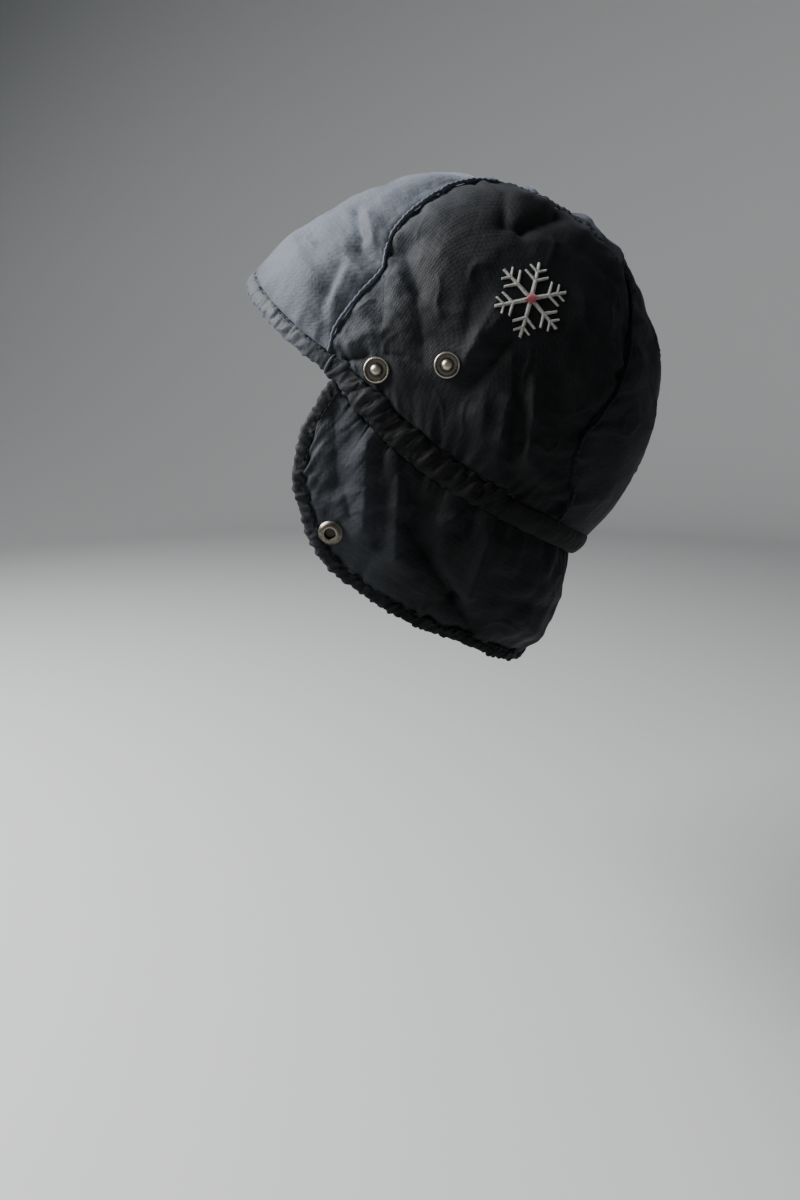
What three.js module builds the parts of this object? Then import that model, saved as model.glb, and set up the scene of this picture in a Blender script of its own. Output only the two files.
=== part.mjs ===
import * as THREE from 'three';

// Aviator hat of padded cotton, as it sits on a head. Millimetres and degrees, +Z up.
// The wearer faces -Y, the left ear is on +X, and the origin is the inside top of the
// crown, where the top of the head touches.

// Driving dimensions
const CLOTH = 3;
const CLEARANCE = 0.3;
const CROWN_CENTRE_DROP = 103;
const CROWN_HALF_WIDTH = 82;
const CROWN_SQUARENESS = 2.3;
const CROWN_MEAN_RADIUS = 97;
const FOREHEAD_LIFT = 16;
const FOREHEAD_CURVE = 1.7;
const SEAM_GAP = 0.12;
const SEAM_DEPTH = 1.6;
const RIM_REACH = 1.03;
const RIM_CASING = { width: 8.2, thickness: 4.6, proud: 0.6, ruffle: 0.55 };
const BAND = { thickness: 6, proud: 2.5, ruffle: 0.8 };
const HEM_CASING = { width: 7.5, thickness: 4.4, proud: 0.7, ruffle: 0.45 };
const FLAP_END = 0.16;
const HEM_END = 0.02;
const FLAP_BOW = { side: 3, back: 9.5, fullLength: 50 };
const FLAP_TUCK = 1.5;
const GATHER = 0.6;
const SNAP_RADIUS = 6.2;
const SNAP_SEAT = 0.5;
const SNAP_FLAT_RADIUS = 11;

// Facets: rows along a seam are the same on both panels, so that their edges run side by side.
const PANEL_ROWS = 28;
const PANEL_COLUMNS = 12;
const RIM_STEPS = 60;
const BAND_SIDE_STEPS = 32;
const BAND_NAPE_STEPS = 28;
const FLAP_PLEATS = 38;
const FLAP_ROWS = 7;
const HEM_STEPS = 100;
const SNAP_SIDES = 12;

// Side outline of the crown: distance from the crown's centre at each angle in the centre
// plane, counted from straight ahead over the top to the back and on round below.
const PROFILE = [
  { over: 0, radius: 134 },
  { over: 25, radius: 123 },
  { over: 45, radius: 113 },
  { over: 65, radius: 108.5 },
  { over: 90, radius: 106 },
  { over: 110, radius: 105 },
  { over: 130, radius: 105.5 },
  { over: 150, radius: 107.5 },
  { over: 175, radius: 110.5 },
  { over: 200, radius: 112 },
  { over: 225, radius: 112.5 },
  { over: 255, radius: 117 },
  { over: 290, radius: 124 },
  { over: 325, radius: 133 },
];

// Seam between the centre panel and a side panel: how far out to the side it lies at each
// angle over the head, from the temple over the top to the nape.
const SEAM = [
  { over: 13.6, out: 49 },
  { over: 27, out: 48.7 },
  { over: 40, out: 48.7 },
  { over: 54, out: 47.5 },
  { over: 59, out: 43.5 },
  { over: 66, out: 38.5 },
  { over: 74, out: 34 },
  { over: 82, out: 29 },
  { over: 90, out: 22.5 },
  { over: 98, out: 17.5 },
  { over: 108, out: 15 },
  { over: 125, out: 14.5 },
  { over: 140, out: 16 },
  { over: 149, out: 21 },
  { over: 158, out: 28.5 },
  { over: 168, out: 34.5 },
  { over: 180, out: 39.5 },
  { over: 192, out: 45 },
  { over: 204, out: 48 },
  { over: 214, out: 46 },
  { over: 225, out: 38.5 },
  { over: 233.5, out: 36.5 },
];

// Lower edge of the panels, which is the band's upper edge: its rise at each angle round
// the head, from the temple to the middle of the back.
const PANEL_EDGE = [
  { round: 40, rise: 12 },
  { round: 51, rise: 7.9 },
  { round: 62, rise: -0.9 },
  { round: 70.5, rise: -9.5 },
  { round: 84.5, rise: -21.1 },
  { round: 97, rise: -28.6 },
  { round: 111, rise: -35 },
  { round: 124, rise: -38.8 },
  { round: 148.5, rise: -44.4 },
  { round: 180, rise: -47.8 },
  { round: 211.5, rise: -44.4 },
];

// Width of the band at each angle round the head.
const BAND_WIDTH = [
  { round: 40, width: 7.5 },
  { round: 52, width: 8.4 },
  { round: 62, width: 12.5 },
  { round: 75, width: 14 },
  { round: 90, width: 13.5 },
  { round: 110, width: 12.3 },
  { round: 180, width: 12.3 },
  { round: 250, width: 12.3 },
];

// Ribs of the flap: where each one leaves the band, and the point of the hem it runs to.
const FLAP_RIBS = [
  { round: 52, x: 73.6, y: -62.4, z: -98.8 },
  { round: 54, x: 74.8, y: -70.5, z: -110.5 },
  { round: 56.5, x: 75.2, y: -77.5, z: -122.5 },
  { round: 59, x: 75.6, y: -81.5, z: -136 },
  { round: 62, x: 76.5, y: -82.5, z: -149 },
  { round: 65.5, x: 77, y: -80, z: -161 },
  { round: 69, x: 77, y: -76, z: -175.5 },
  { round: 73, x: 75.3, y: -68.5, z: -189.5 },
  { round: 78, x: 72, y: -57.5, z: -200.5 },
  { round: 85, x: 68.5, y: -44.5, z: -211 },
  { round: 94, x: 63.5, y: -29, z: -222 },
  { round: 105, x: 58.5, y: -13, z: -231 },
  { round: 118, x: 52, y: 2.5, z: -238 },
  { round: 134, x: 43, y: 17.5, z: -247.5 },
  { round: 153, x: 27, y: 32.5, z: -256 },
  { round: 180, x: 0, y: 43.5, z: -259.5 },
  { round: 207, x: -27, y: 32.5, z: -256 },
];

const radians = THREE.MathUtils.degToRad;
const degrees = THREE.MathUtils.radToDeg;
const crownCentre = new THREE.Vector3(0, 0, -CROWN_CENTRE_DROP);

// Smooth value of one column of a table at a place along its key column.
function lookUp(rows, key, column, place) {
  const last = rows.length - 1;
  let row = 0;
  while (row < last - 1 && rows[row + 1][key] < place) row += 1;
  const slope = (index) => {
    const before = rows[Math.max(index - 1, 0)];
    const after = rows[Math.min(index + 1, last)];
    return (after[column] - before[column]) / (after[key] - before[key]);
  };
  const step = rows[row + 1][key] - rows[row][key];
  const t = (place - rows[row][key]) / step;
  const start = rows[row][column] * (1 + 2 * t) * (1 - t) ** 2;
  const end = rows[row + 1][column] * (3 - 2 * t) * t ** 2;
  const startSlope = slope(row) * step * t * (1 - t) ** 2;
  const endSlope = slope(row + 1) * step * t ** 2 * (t - 1);
  return start + end + startSlope + endSlope;
}

function profileRadius(over) {
  const turned = ((over % 360) + 360) % 360;
  const below = { over: PROFILE.at(-1).over - 360, radius: PROFILE.at(-1).radius };
  const again = PROFILE.slice(0, 2).map((row) => ({ over: row.over + 360, radius: row.radius }));
  return lookUp([below, ...PROFILE, ...again], 'over', 'radius', turned);
}

// Direction from the crown's centre, by the angle over the head and the angle out to a side.
function overDirection(over, out) {
  const flat = Math.cos(radians(out));
  return new THREE.Vector3(
    Math.sin(radians(out)),
    -flat * Math.cos(radians(over)),
    flat * Math.sin(radians(over)),
  );
}

// Direction from the crown's centre, by the angle round the head and the rise.
function roundDirection(round, rise) {
  const flat = Math.cos(radians(rise));
  return new THREE.Vector3(
    flat * Math.sin(radians(round)),
    -flat * Math.cos(radians(round)),
    Math.sin(radians(rise)),
  );
}

// Point of the smooth crown: the side outline, drawn in towards the ears as a superellipse.
function crownPoint(direction) {
  const inPlane = Math.hypot(direction.y, direction.z);
  const over = degrees(Math.atan2(direction.z, -direction.y));
  const lengthways = (inPlane / profileRadius(over)) ** CROWN_SQUARENESS;
  const sideways = (Math.abs(direction.x) / CROWN_HALF_WIDTH) ** CROWN_SQUARENESS;
  const radius = (lengthways + sideways) ** (-1 / CROWN_SQUARENESS);
  return direction.clone().multiplyScalar(radius).add(crownCentre);
}

function crownNormal(direction) {
  const step = 0.02;
  const across = new THREE.Vector3(1, 0, 0).cross(direction);
  if (across.length() < 0.2) across.set(0, 1, 0).cross(direction);
  across.normalize();
  const along = direction.clone().cross(across);
  const point = (first, second) =>
    crownPoint(direction.clone().addScaledVector(across, first).addScaledVector(along, second)
      .normalize());
  const acrossChange = point(step, 0).sub(point(-step, 0));
  const alongChange = point(0, step).sub(point(0, -step));
  return acrossChange.cross(alongChange).normalize();
}

function panelEdgeDirection(round) {
  const rise = lookUp(PANEL_EDGE, 'round', 'rise', round);
  return roundDirection(round, rise);
}

// A closed wall of cloth over a grid of places; depth 0 is the outside, 1 is the inside.
function clothWall(rows, columns, pointAt) {
  const width = columns + 1;
  const layer = (rows + 1) * width;
  const positions = [];
  for (const depth of [0, 1]) {
    for (let row = 0; row <= rows; row += 1) {
      for (let column = 0; column <= columns; column += 1) {
        positions.push(...pointAt(row / rows, column / columns, depth).toArray());
      }
    }
  }
  const triangles = [];
  const quad = (a, b, c, d) => triangles.push(a, b, c, a, c, d);
  const at = (row, column, depth) => depth * layer + row * width + column;
  for (let row = 0; row < rows; row += 1) {
    for (let column = 0; column < columns; column += 1) {
      const [next, beside] = [row + 1, column + 1];
      quad(at(row, column, 0), at(next, column, 0), at(next, beside, 0), at(row, beside, 0));
      quad(at(row, column, 1), at(row, beside, 1), at(next, beside, 1), at(next, column, 1));
    }
  }
  for (let row = 0; row < rows; row += 1) {
    quad(at(row, 0, 0), at(row, 0, 1), at(row + 1, 0, 1), at(row + 1, 0, 0));
    quad(at(row, columns, 0), at(row + 1, columns, 0), at(row + 1, columns, 1), at(row, columns, 1));
  }
  for (let column = 0; column < columns; column += 1) {
    quad(at(0, column, 0), at(0, column + 1, 0), at(0, column + 1, 1), at(0, column, 1));
    quad(at(rows, column, 0), at(rows, column, 1), at(rows, column + 1, 1), at(rows, column + 1, 0));
  }
  return solid(positions, triangles);
}

// A closed roll of cloth: rings of points from end to end, with a flat cap on each end.
function clothRoll(rings) {
  const sides = rings[0].length;
  const positions = rings.flat().flatMap((point) => point.toArray());
  const triangles = [];
  for (let ring = 0; ring < rings.length - 1; ring += 1) {
    for (let side = 0; side < sides; side += 1) {
      const next = (side + 1) % sides;
      const here = ring * sides;
      const there = here + sides;
      triangles.push(here + side, here + next, there + next);
      triangles.push(here + side, there + next, there + side);
    }
  }
  const last = (rings.length - 1) * sides;
  for (let side = 1; side < sides - 1; side += 1) {
    triangles.push(0, side + 1, side);
    triangles.push(last, last + side, last + side + 1);
  }
  return solid(positions, triangles);
}

// Geometry from points and triangles, turned so that its faces point outwards.
function solid(positions, triangles) {
  const corner = (index) => new THREE.Vector3().fromArray(positions, 3 * index);
  let volume = 0;
  for (let i = 0; i < triangles.length; i += 3) {
    volume += corner(triangles[i]).dot(corner(triangles[i + 1]).cross(corner(triangles[i + 2])));
  }
  if (volume < 0) triangles.reverse();
  const geometry = new THREE.BufferGeometry();
  geometry.setAttribute('position', new THREE.Float32BufferAttribute(positions, 3));
  geometry.setIndex(triangles);
  geometry.computeVertexNormals();
  return geometry;
}

// The same piece for the right side.
function mirrored(geometry) {
  const flip = (value, index) => (index % 3 ? value : -value);
  const positions = Array.from(geometry.attributes.position.array, flip);
  return solid(positions, Array.from(geometry.index.array));
}

// Height of the raised and sunk folds at a point, each along a line seen from the side.
function foldHeight(folds, point) {
  let height = 0;
  for (const fold of folds) {
    const lineY = fold.toY - fold.fromY;
    const lineZ = fold.toZ - fold.fromZ;
    const length = lineY ** 2 + lineZ ** 2;
    const share = ((point.y - fold.fromY) * lineY + (point.z - fold.fromZ) * lineZ) / length;
    const near = THREE.MathUtils.clamp(share, 0, 1);
    const offY = point.y - fold.fromY - near * lineY;
    const offZ = point.z - fold.fromZ - near * lineZ;
    height += fold.height * Math.exp(-(offY ** 2 + offZ ** 2) / fold.width ** 2);
  }
  return height;
}

// Folds of a side panel, with their ends as seen from the side.
const SIDE_FOLDS = [
  { fromY: -28, fromZ: -41, toY: -22, toZ: -62, width: 5, height: -1.8 },
  { fromY: -22, fromZ: -62, toY: -19, toZ: -83, width: 4, height: -1.4 },
  { fromY: -31, fromZ: -52, toY: -24, toZ: -64, width: 4.5, height: 1.6 },
  { fromY: -39, fromZ: -61, toY: -38, toZ: -74, width: 4, height: -1.3 },
  { fromY: -11, fromZ: -44, toY: 2, toZ: -60, width: 7, height: 1.3 },
  { fromY: -61, fromZ: -93, toY: -45, toZ: -89.5, width: 2, height: -2.4 },
  { fromY: -53, fromZ: -84, toY: -44, toZ: -80, width: 4, height: 1.1 },
  { fromY: -60, fromZ: -98, toY: -50, toZ: -99, width: 2, height: -1.2 },
  { fromY: 15, fromZ: -74, toY: 0, toZ: -92, width: 5.5, height: 2.2 },
  { fromY: 21, fromZ: -82, toY: 6, toZ: -102, width: 5, height: -1.8 },
  { fromY: 20, fromZ: -110, toY: 17, toZ: -128, width: 4, height: 2 },
  { fromY: 17, fromZ: -128, toY: 16, toZ: -142, width: 3.5, height: 1.6 },
  { fromY: 33, fromZ: -106, toY: 31, toZ: -138, width: 3.5, height: 2.2 },
  { fromY: 26, fromZ: -108, toY: 24, toZ: -142, width: 4, height: -1.7 },
  { fromY: 6, fromZ: -116, toY: 10, toZ: -130, width: 6, height: 1.5 },
  { fromY: 48, fromZ: -100, toY: 46, toZ: -122, width: 8, height: -2 },
  { fromY: -14, fromZ: -106, toY: -2, toZ: -112, width: 6, height: -1.3 },
  { fromY: 20, fromZ: -15, toY: 19.5, toZ: -29.5, width: 3.5, height: -1.5 },
  { fromY: 19.5, fromZ: -29.5, toY: 28, toZ: -32, width: 4, height: -1.8 },
  { fromY: 28, fromZ: -32, toY: 46.5, toZ: -22.5, width: 4, height: -2.8 },
  { fromY: 46.5, fromZ: -22.5, toY: 52, toZ: -12, width: 4.5, height: -3 },
  { fromY: 27, fromZ: -13, toY: 42, toZ: -17, width: 6.5, height: 3 },
  { fromY: 46, fromZ: -30, toY: 70, toZ: -36, width: 8, height: 1.2 },
  { fromY: 68, fromZ: -27, toY: 84, toZ: -44, width: 9, height: 2.6 },
];

// Broad soft folds of the centre panel on the forehead and behind the top.
const CENTRE_FOLDS = [
  { fromY: -48.5, fromZ: -41, toY: -36, toZ: -50.5, width: 3.2, height: -1.9 },
  { fromY: -54, fromZ: -46, toY: -46, toZ: -52, width: 5, height: 1.5 },
  { fromY: -55, fromZ: -52, toY: -61, toZ: -62, width: 4.5, height: 1.5 },
  { fromY: -61, fromZ: -62, toY: -62.5, toZ: -74, width: 4, height: 1.2 },
  { fromY: -58, fromZ: -49, toY: -64.5, toZ: -60, width: 4, height: -1.8 },
  { fromY: -64.5, fromZ: -60, toY: -67.5, toZ: -71, width: 4, height: -1.5 },
  { fromY: -50.5, fromZ: -22, toY: -48, toZ: -35, width: 3.5, height: -1.8 },
  { fromY: -45, fromZ: -24, toY: -42.5, toZ: -37, width: 4, height: 1.2 },
  { fromY: -84, fromZ: -32, toY: -74, toZ: -48, width: 9, height: 0.9 },
  { fromY: 27, fromZ: -1, toY: 27, toZ: -8, width: 3.5, height: -1.2 },
  { fromY: 38, fromZ: -3, toY: 36, toZ: -12, width: 6, height: 0.8 },
  { fromY: 51, fromZ: -9, toY: 50, toZ: -22, width: 4.5, height: -2.6 },
  { fromY: 66, fromZ: -24, toY: 84, toZ: -43, width: 9, height: 2.2 },
];

// Folds of the flap, hanging from the band.
const FLAP_FOLDS = [
  { fromY: -61, fromZ: -114, toY: -60, toZ: -150, width: 4.5, height: -1.3 },
  { fromY: -57, fromZ: -150, toY: -54, toZ: -164, width: 3, height: -0.9 },
  { fromY: -45, fromZ: -114, toY: -48, toZ: -172, width: 6.5, height: 2.3 },
  { fromY: -38.5, fromZ: -124, toY: -41, toZ: -178, width: 3, height: -1.7 },
  { fromY: -31, fromZ: -138, toY: -32, toZ: -186, width: 4.5, height: 2.1 },
  { fromY: -24, fromZ: -146, toY: -25, toZ: -182, width: 4, height: -1.2 },
  { fromY: -26, fromZ: -170, toY: -2, toZ: -210, width: 3.8, height: -2.8 },
  { fromY: -2, fromZ: -210, toY: 8, toZ: -230, width: 3.5, height: -2.5 },
  { fromY: 17, fromZ: -166, toY: 5, toZ: -208, width: 4.5, height: 2.6 },
  { fromY: -8, fromZ: -168, toY: 6, toZ: -162, width: 3.5, height: 1.6 },
  { fromY: 30, fromZ: -212, toY: 50, toZ: -222, width: 6, height: -1.4 },
  { fromY: 36, fromZ: -226, toY: 46, toZ: -238, width: 6, height: 1.2 },
];

// The snaps: each stud's place on the crown, and the socket's place on the flap.
const STUDS = [
  { name: 'front', round: 62.9, rise: 4.3 },
  { name: 'rear', round: 84.4, rise: 6.2 },
];
const SOCKET = { rib: 0.43, down: 0.88 };
const studPoints = STUDS.map((stud) => crownPoint(roundDirection(stud.round, stud.rise)));

// The cloth lies flat round each snap: share of the folds that is left at a point.
function clearOfSnaps(point, snaps) {
  let share = 1;
  for (const snap of snaps) {
    const distance = Math.hypot(point.y - snap.y, point.z - snap.z);
    share *= 1 - Math.exp(-((distance / SNAP_FLAT_RADIUS) ** 4));
  }
  return share;
}

// Seam valley: the cloth is pulled in along a seam and puffs up beside it.
function seamRelief(distance, along) {
  const depth = SEAM_DEPTH * Math.min(1, along * 14, (1 - along) * 14);
  return -depth * (Math.exp(-((distance / 14) ** 2)) + Math.exp(-((distance / 4) ** 2)));
}

function centrePanel() {
  const [seamStart, seamEnd] = [SEAM[0].over, SEAM.at(-1).over];
  return clothWall(PANEL_ROWS, PANEL_COLUMNS, (along, across, depth) => {
    const side = 2 * across - 1;
    const over = seamStart + (seamEnd - seamStart) * along;
    const seamOut = lookUp(SEAM, 'over', 'out', over);
    const lift = FOREHEAD_LIFT * Math.max(0, 1 - along / 0.45) ** 2;
    const rise = lift * (1 - Math.abs(side) ** FOREHEAD_CURVE);
    const direction = overDirection(over + rise, side * (seamOut - SEAM_GAP));
    const atNape = THREE.MathUtils.smoothstep(along, 0.82, 1);
    const nape = panelEdgeDirection(180 - 51.2 * Math.abs(side));
    nape.x *= Math.sign(side) || 1;
    const straightNape = overDirection(seamEnd, side * SEAM.at(-1).out);
    direction.add(nape.sub(straightNape).multiplyScalar(atNape)).normalize();
    const normal = crownNormal(direction);
    const point = crownPoint(direction);
    const seamDistance = (1 - Math.abs(side)) * radians(seamOut) * CROWN_MEAN_RADIUS;
    const edgeFade = Math.min(1, along * 12, (1 - along) * 12, (1 - Math.abs(side)) * 6);
    const relief = seamRelief(seamDistance, along) + edgeFade * foldHeight(CENTRE_FOLDS, point);
    return point.addScaledVector(normal, relief - depth * CLOTH);
  });
}

function sidePanel() {
  const [seamStart, seamEnd] = [SEAM[0].over, SEAM.at(-1).over];
  return clothWall(PANEL_ROWS, PANEL_COLUMNS, (along, down, depth) => {
    const over = seamStart + (seamEnd - seamStart) * along;
    const seam = overDirection(over, lookUp(SEAM, 'over', 'out', over) + SEAM_GAP);
    const edge = panelEdgeDirection(51.3 + 76.6 * along);
    const arc = Math.acos(THREE.MathUtils.clamp(seam.dot(edge), -1, 1));
    const direction = seam.clone().multiplyScalar(Math.sin((1 - down) * arc));
    direction.addScaledVector(edge, Math.sin(down * arc)).normalize();
    const normal = crownNormal(direction);
    const point = crownPoint(direction);
    const edgeFade = Math.min(1, down * 5, (1 - down) * 5);
    const folds = foldHeight(SIDE_FOLDS, point) * clearOfSnaps(point, studPoints);
    const relief = seamRelief(down * arc * CROWN_MEAN_RADIUS, along) + edgeFade * folds;
    return point.addScaledVector(normal, relief - depth * CLOTH);
  });
}

// A line on the crown, moved sideways along the cloth: the place, the way along the line,
// the way out of the cloth and the way down across the line.
function crownFrame(directionAt, place, step, shift) {
  const direction = directionAt(place);
  const normal = crownNormal(direction);
  const along = crownPoint(directionAt(place + step)).sub(crownPoint(directionAt(place - step)));
  along.addScaledVector(normal, -along.dot(normal)).normalize();
  const down = along.clone().cross(normal).normalize();
  if (down.z > 0) down.negate();
  const moved = crownPoint(direction).addScaledVector(down, shift).sub(crownCentre).normalize();
  return { point: crownPoint(moved), along, normal: crownNormal(moved), down };
}

// One ring of a stuffed casing: a flattened oval across the line that it follows.
function casingRing(frame, width, thickness, proud, sides = 6) {
  const middle = frame.point.clone().addScaledVector(frame.normal, proud - thickness / 2);
  const ring = [];
  for (let side = 0; side < sides; side += 1) {
    const turn = (2 * Math.PI * side) / sides;
    const outwards = (thickness / 2) * Math.cos(turn);
    const downwards = (width / 2) * Math.sign(Math.sin(turn)) * Math.abs(Math.sin(turn)) ** 0.7;
    const point = middle.clone().addScaledVector(frame.normal, outwards);
    ring.push(point.addScaledVector(frame.down, downwards));
  }
  return ring;
}

function frontRim() {
  const edge = (side) => {
    const rise = FOREHEAD_LIFT * (1 - Math.abs(side) ** FOREHEAD_CURVE);
    return overDirection(SEAM[0].over + rise, side * SEAM[0].out);
  };
  const rings = [];
  for (let step = 0; step <= RIM_STEPS; step += 1) {
    const side = RIM_REACH * ((2 * step) / RIM_STEPS - 1);
    const gather = step % 2 ? RIM_CASING.ruffle : -RIM_CASING.ruffle;
    const frame = crownFrame(edge, side, 0.01, RIM_CASING.width / 2 + 2 * CLEARANCE);
    const thickness = RIM_CASING.thickness + gather;
    rings.push(casingRing(frame, RIM_CASING.width, thickness, RIM_CASING.proud + gather));
  }
  return clothRoll(rings);
}

function bandWidth(round) {
  return lookUp(BAND_WIDTH, 'round', 'width', Math.min(round, 360 - round));
}

function bandStretch(fromRound, toRound, steps, ruffle) {
  const edge = (round) => {
    const direction = panelEdgeDirection(Math.min(round, 360 - round));
    if (round > 180) direction.x *= -1;
    return direction;
  };
  const rings = [];
  for (let step = 0; step <= steps; step += 1) {
    const round = fromRound + ((toRound - fromRound) * step) / steps;
    const width = bandWidth(round);
    const gather = step % 2 ? ruffle : -ruffle;
    const frame = crownFrame(edge, round, 0.5, width / 2 + 2 * CLEARANCE);
    const fullness = THREE.MathUtils.smoothstep(Math.min(round, 360 - round), 50, 66);
    const thickness = THREE.MathUtils.lerp(RIM_CASING.thickness, BAND.thickness, fullness);
    const proud = THREE.MathUtils.lerp(RIM_CASING.proud, BAND.proud, fullness);
    rings.push(casingRing(frame, width, thickness + gather, proud + gather, 8));
  }
  return clothRoll(rings);
}

// One row of the flap's ribs, smoothed: place 0 is the left temple, 1 the middle of the
// back and 2 the right temple.
function flapRib(place) {
  const rows = FLAP_RIBS.map((row, index) => ({ ...row, index }));
  const near = (FLAP_RIBS.length - 2) * Math.min(place, 2 - place);
  const columns = ['round', 'x', 'y', 'z'];
  const [round, x, y, z] = columns.map((column) => lookUp(rows, 'index', column, near));
  const top = crownFrame(panelEdgeDirection, round, 0.5, bandWidth(round) + 4 * CLEARANCE);
  const hem = new THREE.Vector3(x, y, z);
  if (place > 1) {
    for (const vector of [top.point, top.normal, hem]) vector.x *= -1;
  }
  return { top: top.point, normal: top.normal, hem };
}

// Line that runs inside the hem at a given distance from it.
function insideHem(place, distance) {
  const step = 0.004;
  const rib = flapRib(place);
  const along = flapRib(place + step).hem.sub(flapRib(place - step).hem).normalize();
  const inwards = flapRib(THREE.MathUtils.clamp(place, 0.25, 1.75)).top.sub(rib.hem);
  inwards.addScaledVector(along, -inwards.dot(along)).normalize();
  return rib.hem.clone().addScaledVector(inwards, distance);
}

// Outer face of the flap, without folds: each rib hangs in a shallow bow, deeper at the back
// and less where the rib is short.
function flapPoint(place, down) {
  const rib = flapRib(place);
  const end = insideHem(place, HEM_CASING.width + 2 * CLEARANCE);
  const backShare = THREE.MathUtils.smoothstep(Math.min(place, 2 - place), 0.6, 1);
  const length = Math.min(rib.top.distanceTo(rib.hem), FLAP_BOW.fullLength);
  const fullBow = THREE.MathUtils.lerp(FLAP_BOW.side, FLAP_BOW.back, backShare);
  const bow = (fullBow * length) / FLAP_BOW.fullLength;
  const tuck = FLAP_TUCK * (1 - down);
  return rib.top.lerp(end, down).addScaledVector(rib.normal, bow * 4 * down * (1 - down) - tuck);
}

function flapNormal(place, down) {
  const step = 0.01;
  const across = flapPoint(place + step, down).sub(flapPoint(place - step, down));
  const along = flapPoint(place, down + step).sub(flapPoint(place, down - step));
  return along.cross(across).normalize();
}

function flap() {
  const socketPoint = flapPoint(SOCKET.rib, SOCKET.down);
  return clothWall(2 * FLAP_PLEATS, FLAP_ROWS, (along, down, depth) => {
    const place = THREE.MathUtils.lerp(FLAP_END, 2 - FLAP_END, along);
    const point = flapPoint(place, down);
    const gather = GATHER * Math.cos(2 * Math.PI * FLAP_PLEATS * along) * Math.exp(-5 * down);
    const edgeFade = Math.min(1, down * 6, (1 - down) * 6);
    const folds = foldHeight(FLAP_FOLDS, point) * clearOfSnaps(point, [socketPoint]);
    const relief = gather + edgeFade * folds;
    return point.addScaledVector(flapNormal(place, down), relief - depth * CLOTH);
  });
}

// Places along the flap that are evenly spaced in millimetres along its hem.
function evenPlaces(count) {
  const samples = 400;
  const places = [0];
  const lengths = [0];
  for (let sample = 1; sample <= samples; sample += 1) {
    const place = (2 * sample) / samples;
    const step = flapRib(place).hem.distanceTo(flapRib(places.at(-1)).hem);
    places.push(place);
    lengths.push(lengths.at(-1) + step);
  }
  const rows = places.map((place, index) => ({ place, length: lengths[index] }));
  const even = [];
  for (let i = 0; i <= count; i += 1) {
    even.push(lookUp(rows, 'length', 'place', (lengths.at(-1) * i) / count));
  }
  return even;
}

function flapHem() {
  const rings = evenPlaces(HEM_STEPS).map((place, index) => {
    const gather = index % 2 ? HEM_CASING.ruffle : -HEM_CASING.ruffle;
    const inner = THREE.MathUtils.clamp(place, HEM_END, 2 - HEM_END);
    const point = insideHem(inner, HEM_CASING.width / 2);
    const down = insideHem(inner, 0).sub(point).normalize();
    const normal = flapNormal(THREE.MathUtils.clamp(inner, FLAP_END, 2 - FLAP_END), 1);
    const frame = { point, normal, down };
    const thickness = HEM_CASING.thickness + gather;
    return casingRing(frame, HEM_CASING.width, thickness, HEM_CASING.proud);
  });
  return clothRoll(rings);
}

// Turned metal of a snap, from its seat on the cloth upwards.
function turned(profile) {
  const points = profile.map((row) => new THREE.Vector2(row.radius, row.height));
  return new THREE.LatheGeometry(points, SNAP_SIDES).rotateX(Math.PI / 2);
}

function snapStud() {
  return turned([
    { radius: 0, height: 0 },
    { radius: SNAP_RADIUS - 0.3, height: 0 },
    { radius: SNAP_RADIUS, height: 0.5 },
    { radius: SNAP_RADIUS - 0.6, height: 1.3 },
    { radius: SNAP_RADIUS - 1.5, height: 1.2 },
    { radius: SNAP_RADIUS - 2.1, height: 0.6 },
    { radius: 2.4, height: 0.6 },
    { radius: 2.2, height: 1.8 },
    { radius: 2.6, height: 2.6 },
    { radius: 1.7, height: 3.5 },
    { radius: 0, height: 3.8 },
  ]);
}

function snapSocket() {
  return turned([
    { radius: 0, height: 0 },
    { radius: SNAP_RADIUS - 0.3, height: 0 },
    { radius: SNAP_RADIUS, height: 0.6 },
    { radius: SNAP_RADIUS - 0.7, height: 1.7 },
    { radius: SNAP_RADIUS - 2.2, height: 2.4 },
    { radius: 3, height: 2.1 },
    { radius: 2.8, height: 0.8 },
    { radius: 0, height: 0.8 },
  ]);
}

const group = new THREE.Group();

function add(name, geometry, material) {
  const mesh = new THREE.Mesh(geometry, material);
  mesh.name = name;
  group.add(mesh);
  return mesh;
}

// A snap on the cloth, with its axis along the way out of the cloth, and its twin opposite.
function addSnapPair(name, geometry, point, normal) {
  for (const [hand, sign] of [['left', 1], ['right', -1]]) {
    const metal = new THREE.MeshStandardMaterial({ color: 0xa29c90, roughness: 0.35, metalness: 1 });
    const mesh = add(`${name}_${hand}`, geometry, metal);
    const mirror = new THREE.Vector3(sign, 1, 1);
    const outwards = normal.clone().multiply(mirror);
    mesh.position.copy(point).multiply(mirror).addScaledVector(outwards, SNAP_SEAT);
    mesh.quaternion.setFromUnitVectors(new THREE.Vector3(0, 0, 1), outwards);
  }
}

const cotton = (color) => new THREE.MeshStandardMaterial({ color, roughness: 0.85, metalness: 0 });

add('centre_panel', centrePanel(), cotton(0x30353c));
const leftPanel = sidePanel();
add('side_panel_left', leftPanel, cotton(0x26292e));
add('side_panel_right', mirrored(leftPanel), cotton(0x26292e));
add('front_rim', frontRim(), cotton(0x2a2e34));
const leftBand = bandStretch(51.8, 110, BAND_SIDE_STEPS, BAND.ruffle);
add('band_left', leftBand, cotton(0x1f2125));
add('band_right', mirrored(leftBand), cotton(0x1f2125));
add('band_nape', bandStretch(110.4, 249.6, BAND_NAPE_STEPS, 0), cotton(0x1f2125));
add('flap', flap(), cotton(0x232529));
add('flap_hem', flapHem(), cotton(0x1f2125));
for (const stud of STUDS) {
  const direction = roundDirection(stud.round, stud.rise);
  addSnapPair(`snap_stud_${stud.name}`, snapStud(), crownPoint(direction), crownNormal(direction));
}
const socketNormal = flapNormal(SOCKET.rib, SOCKET.down);
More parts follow.
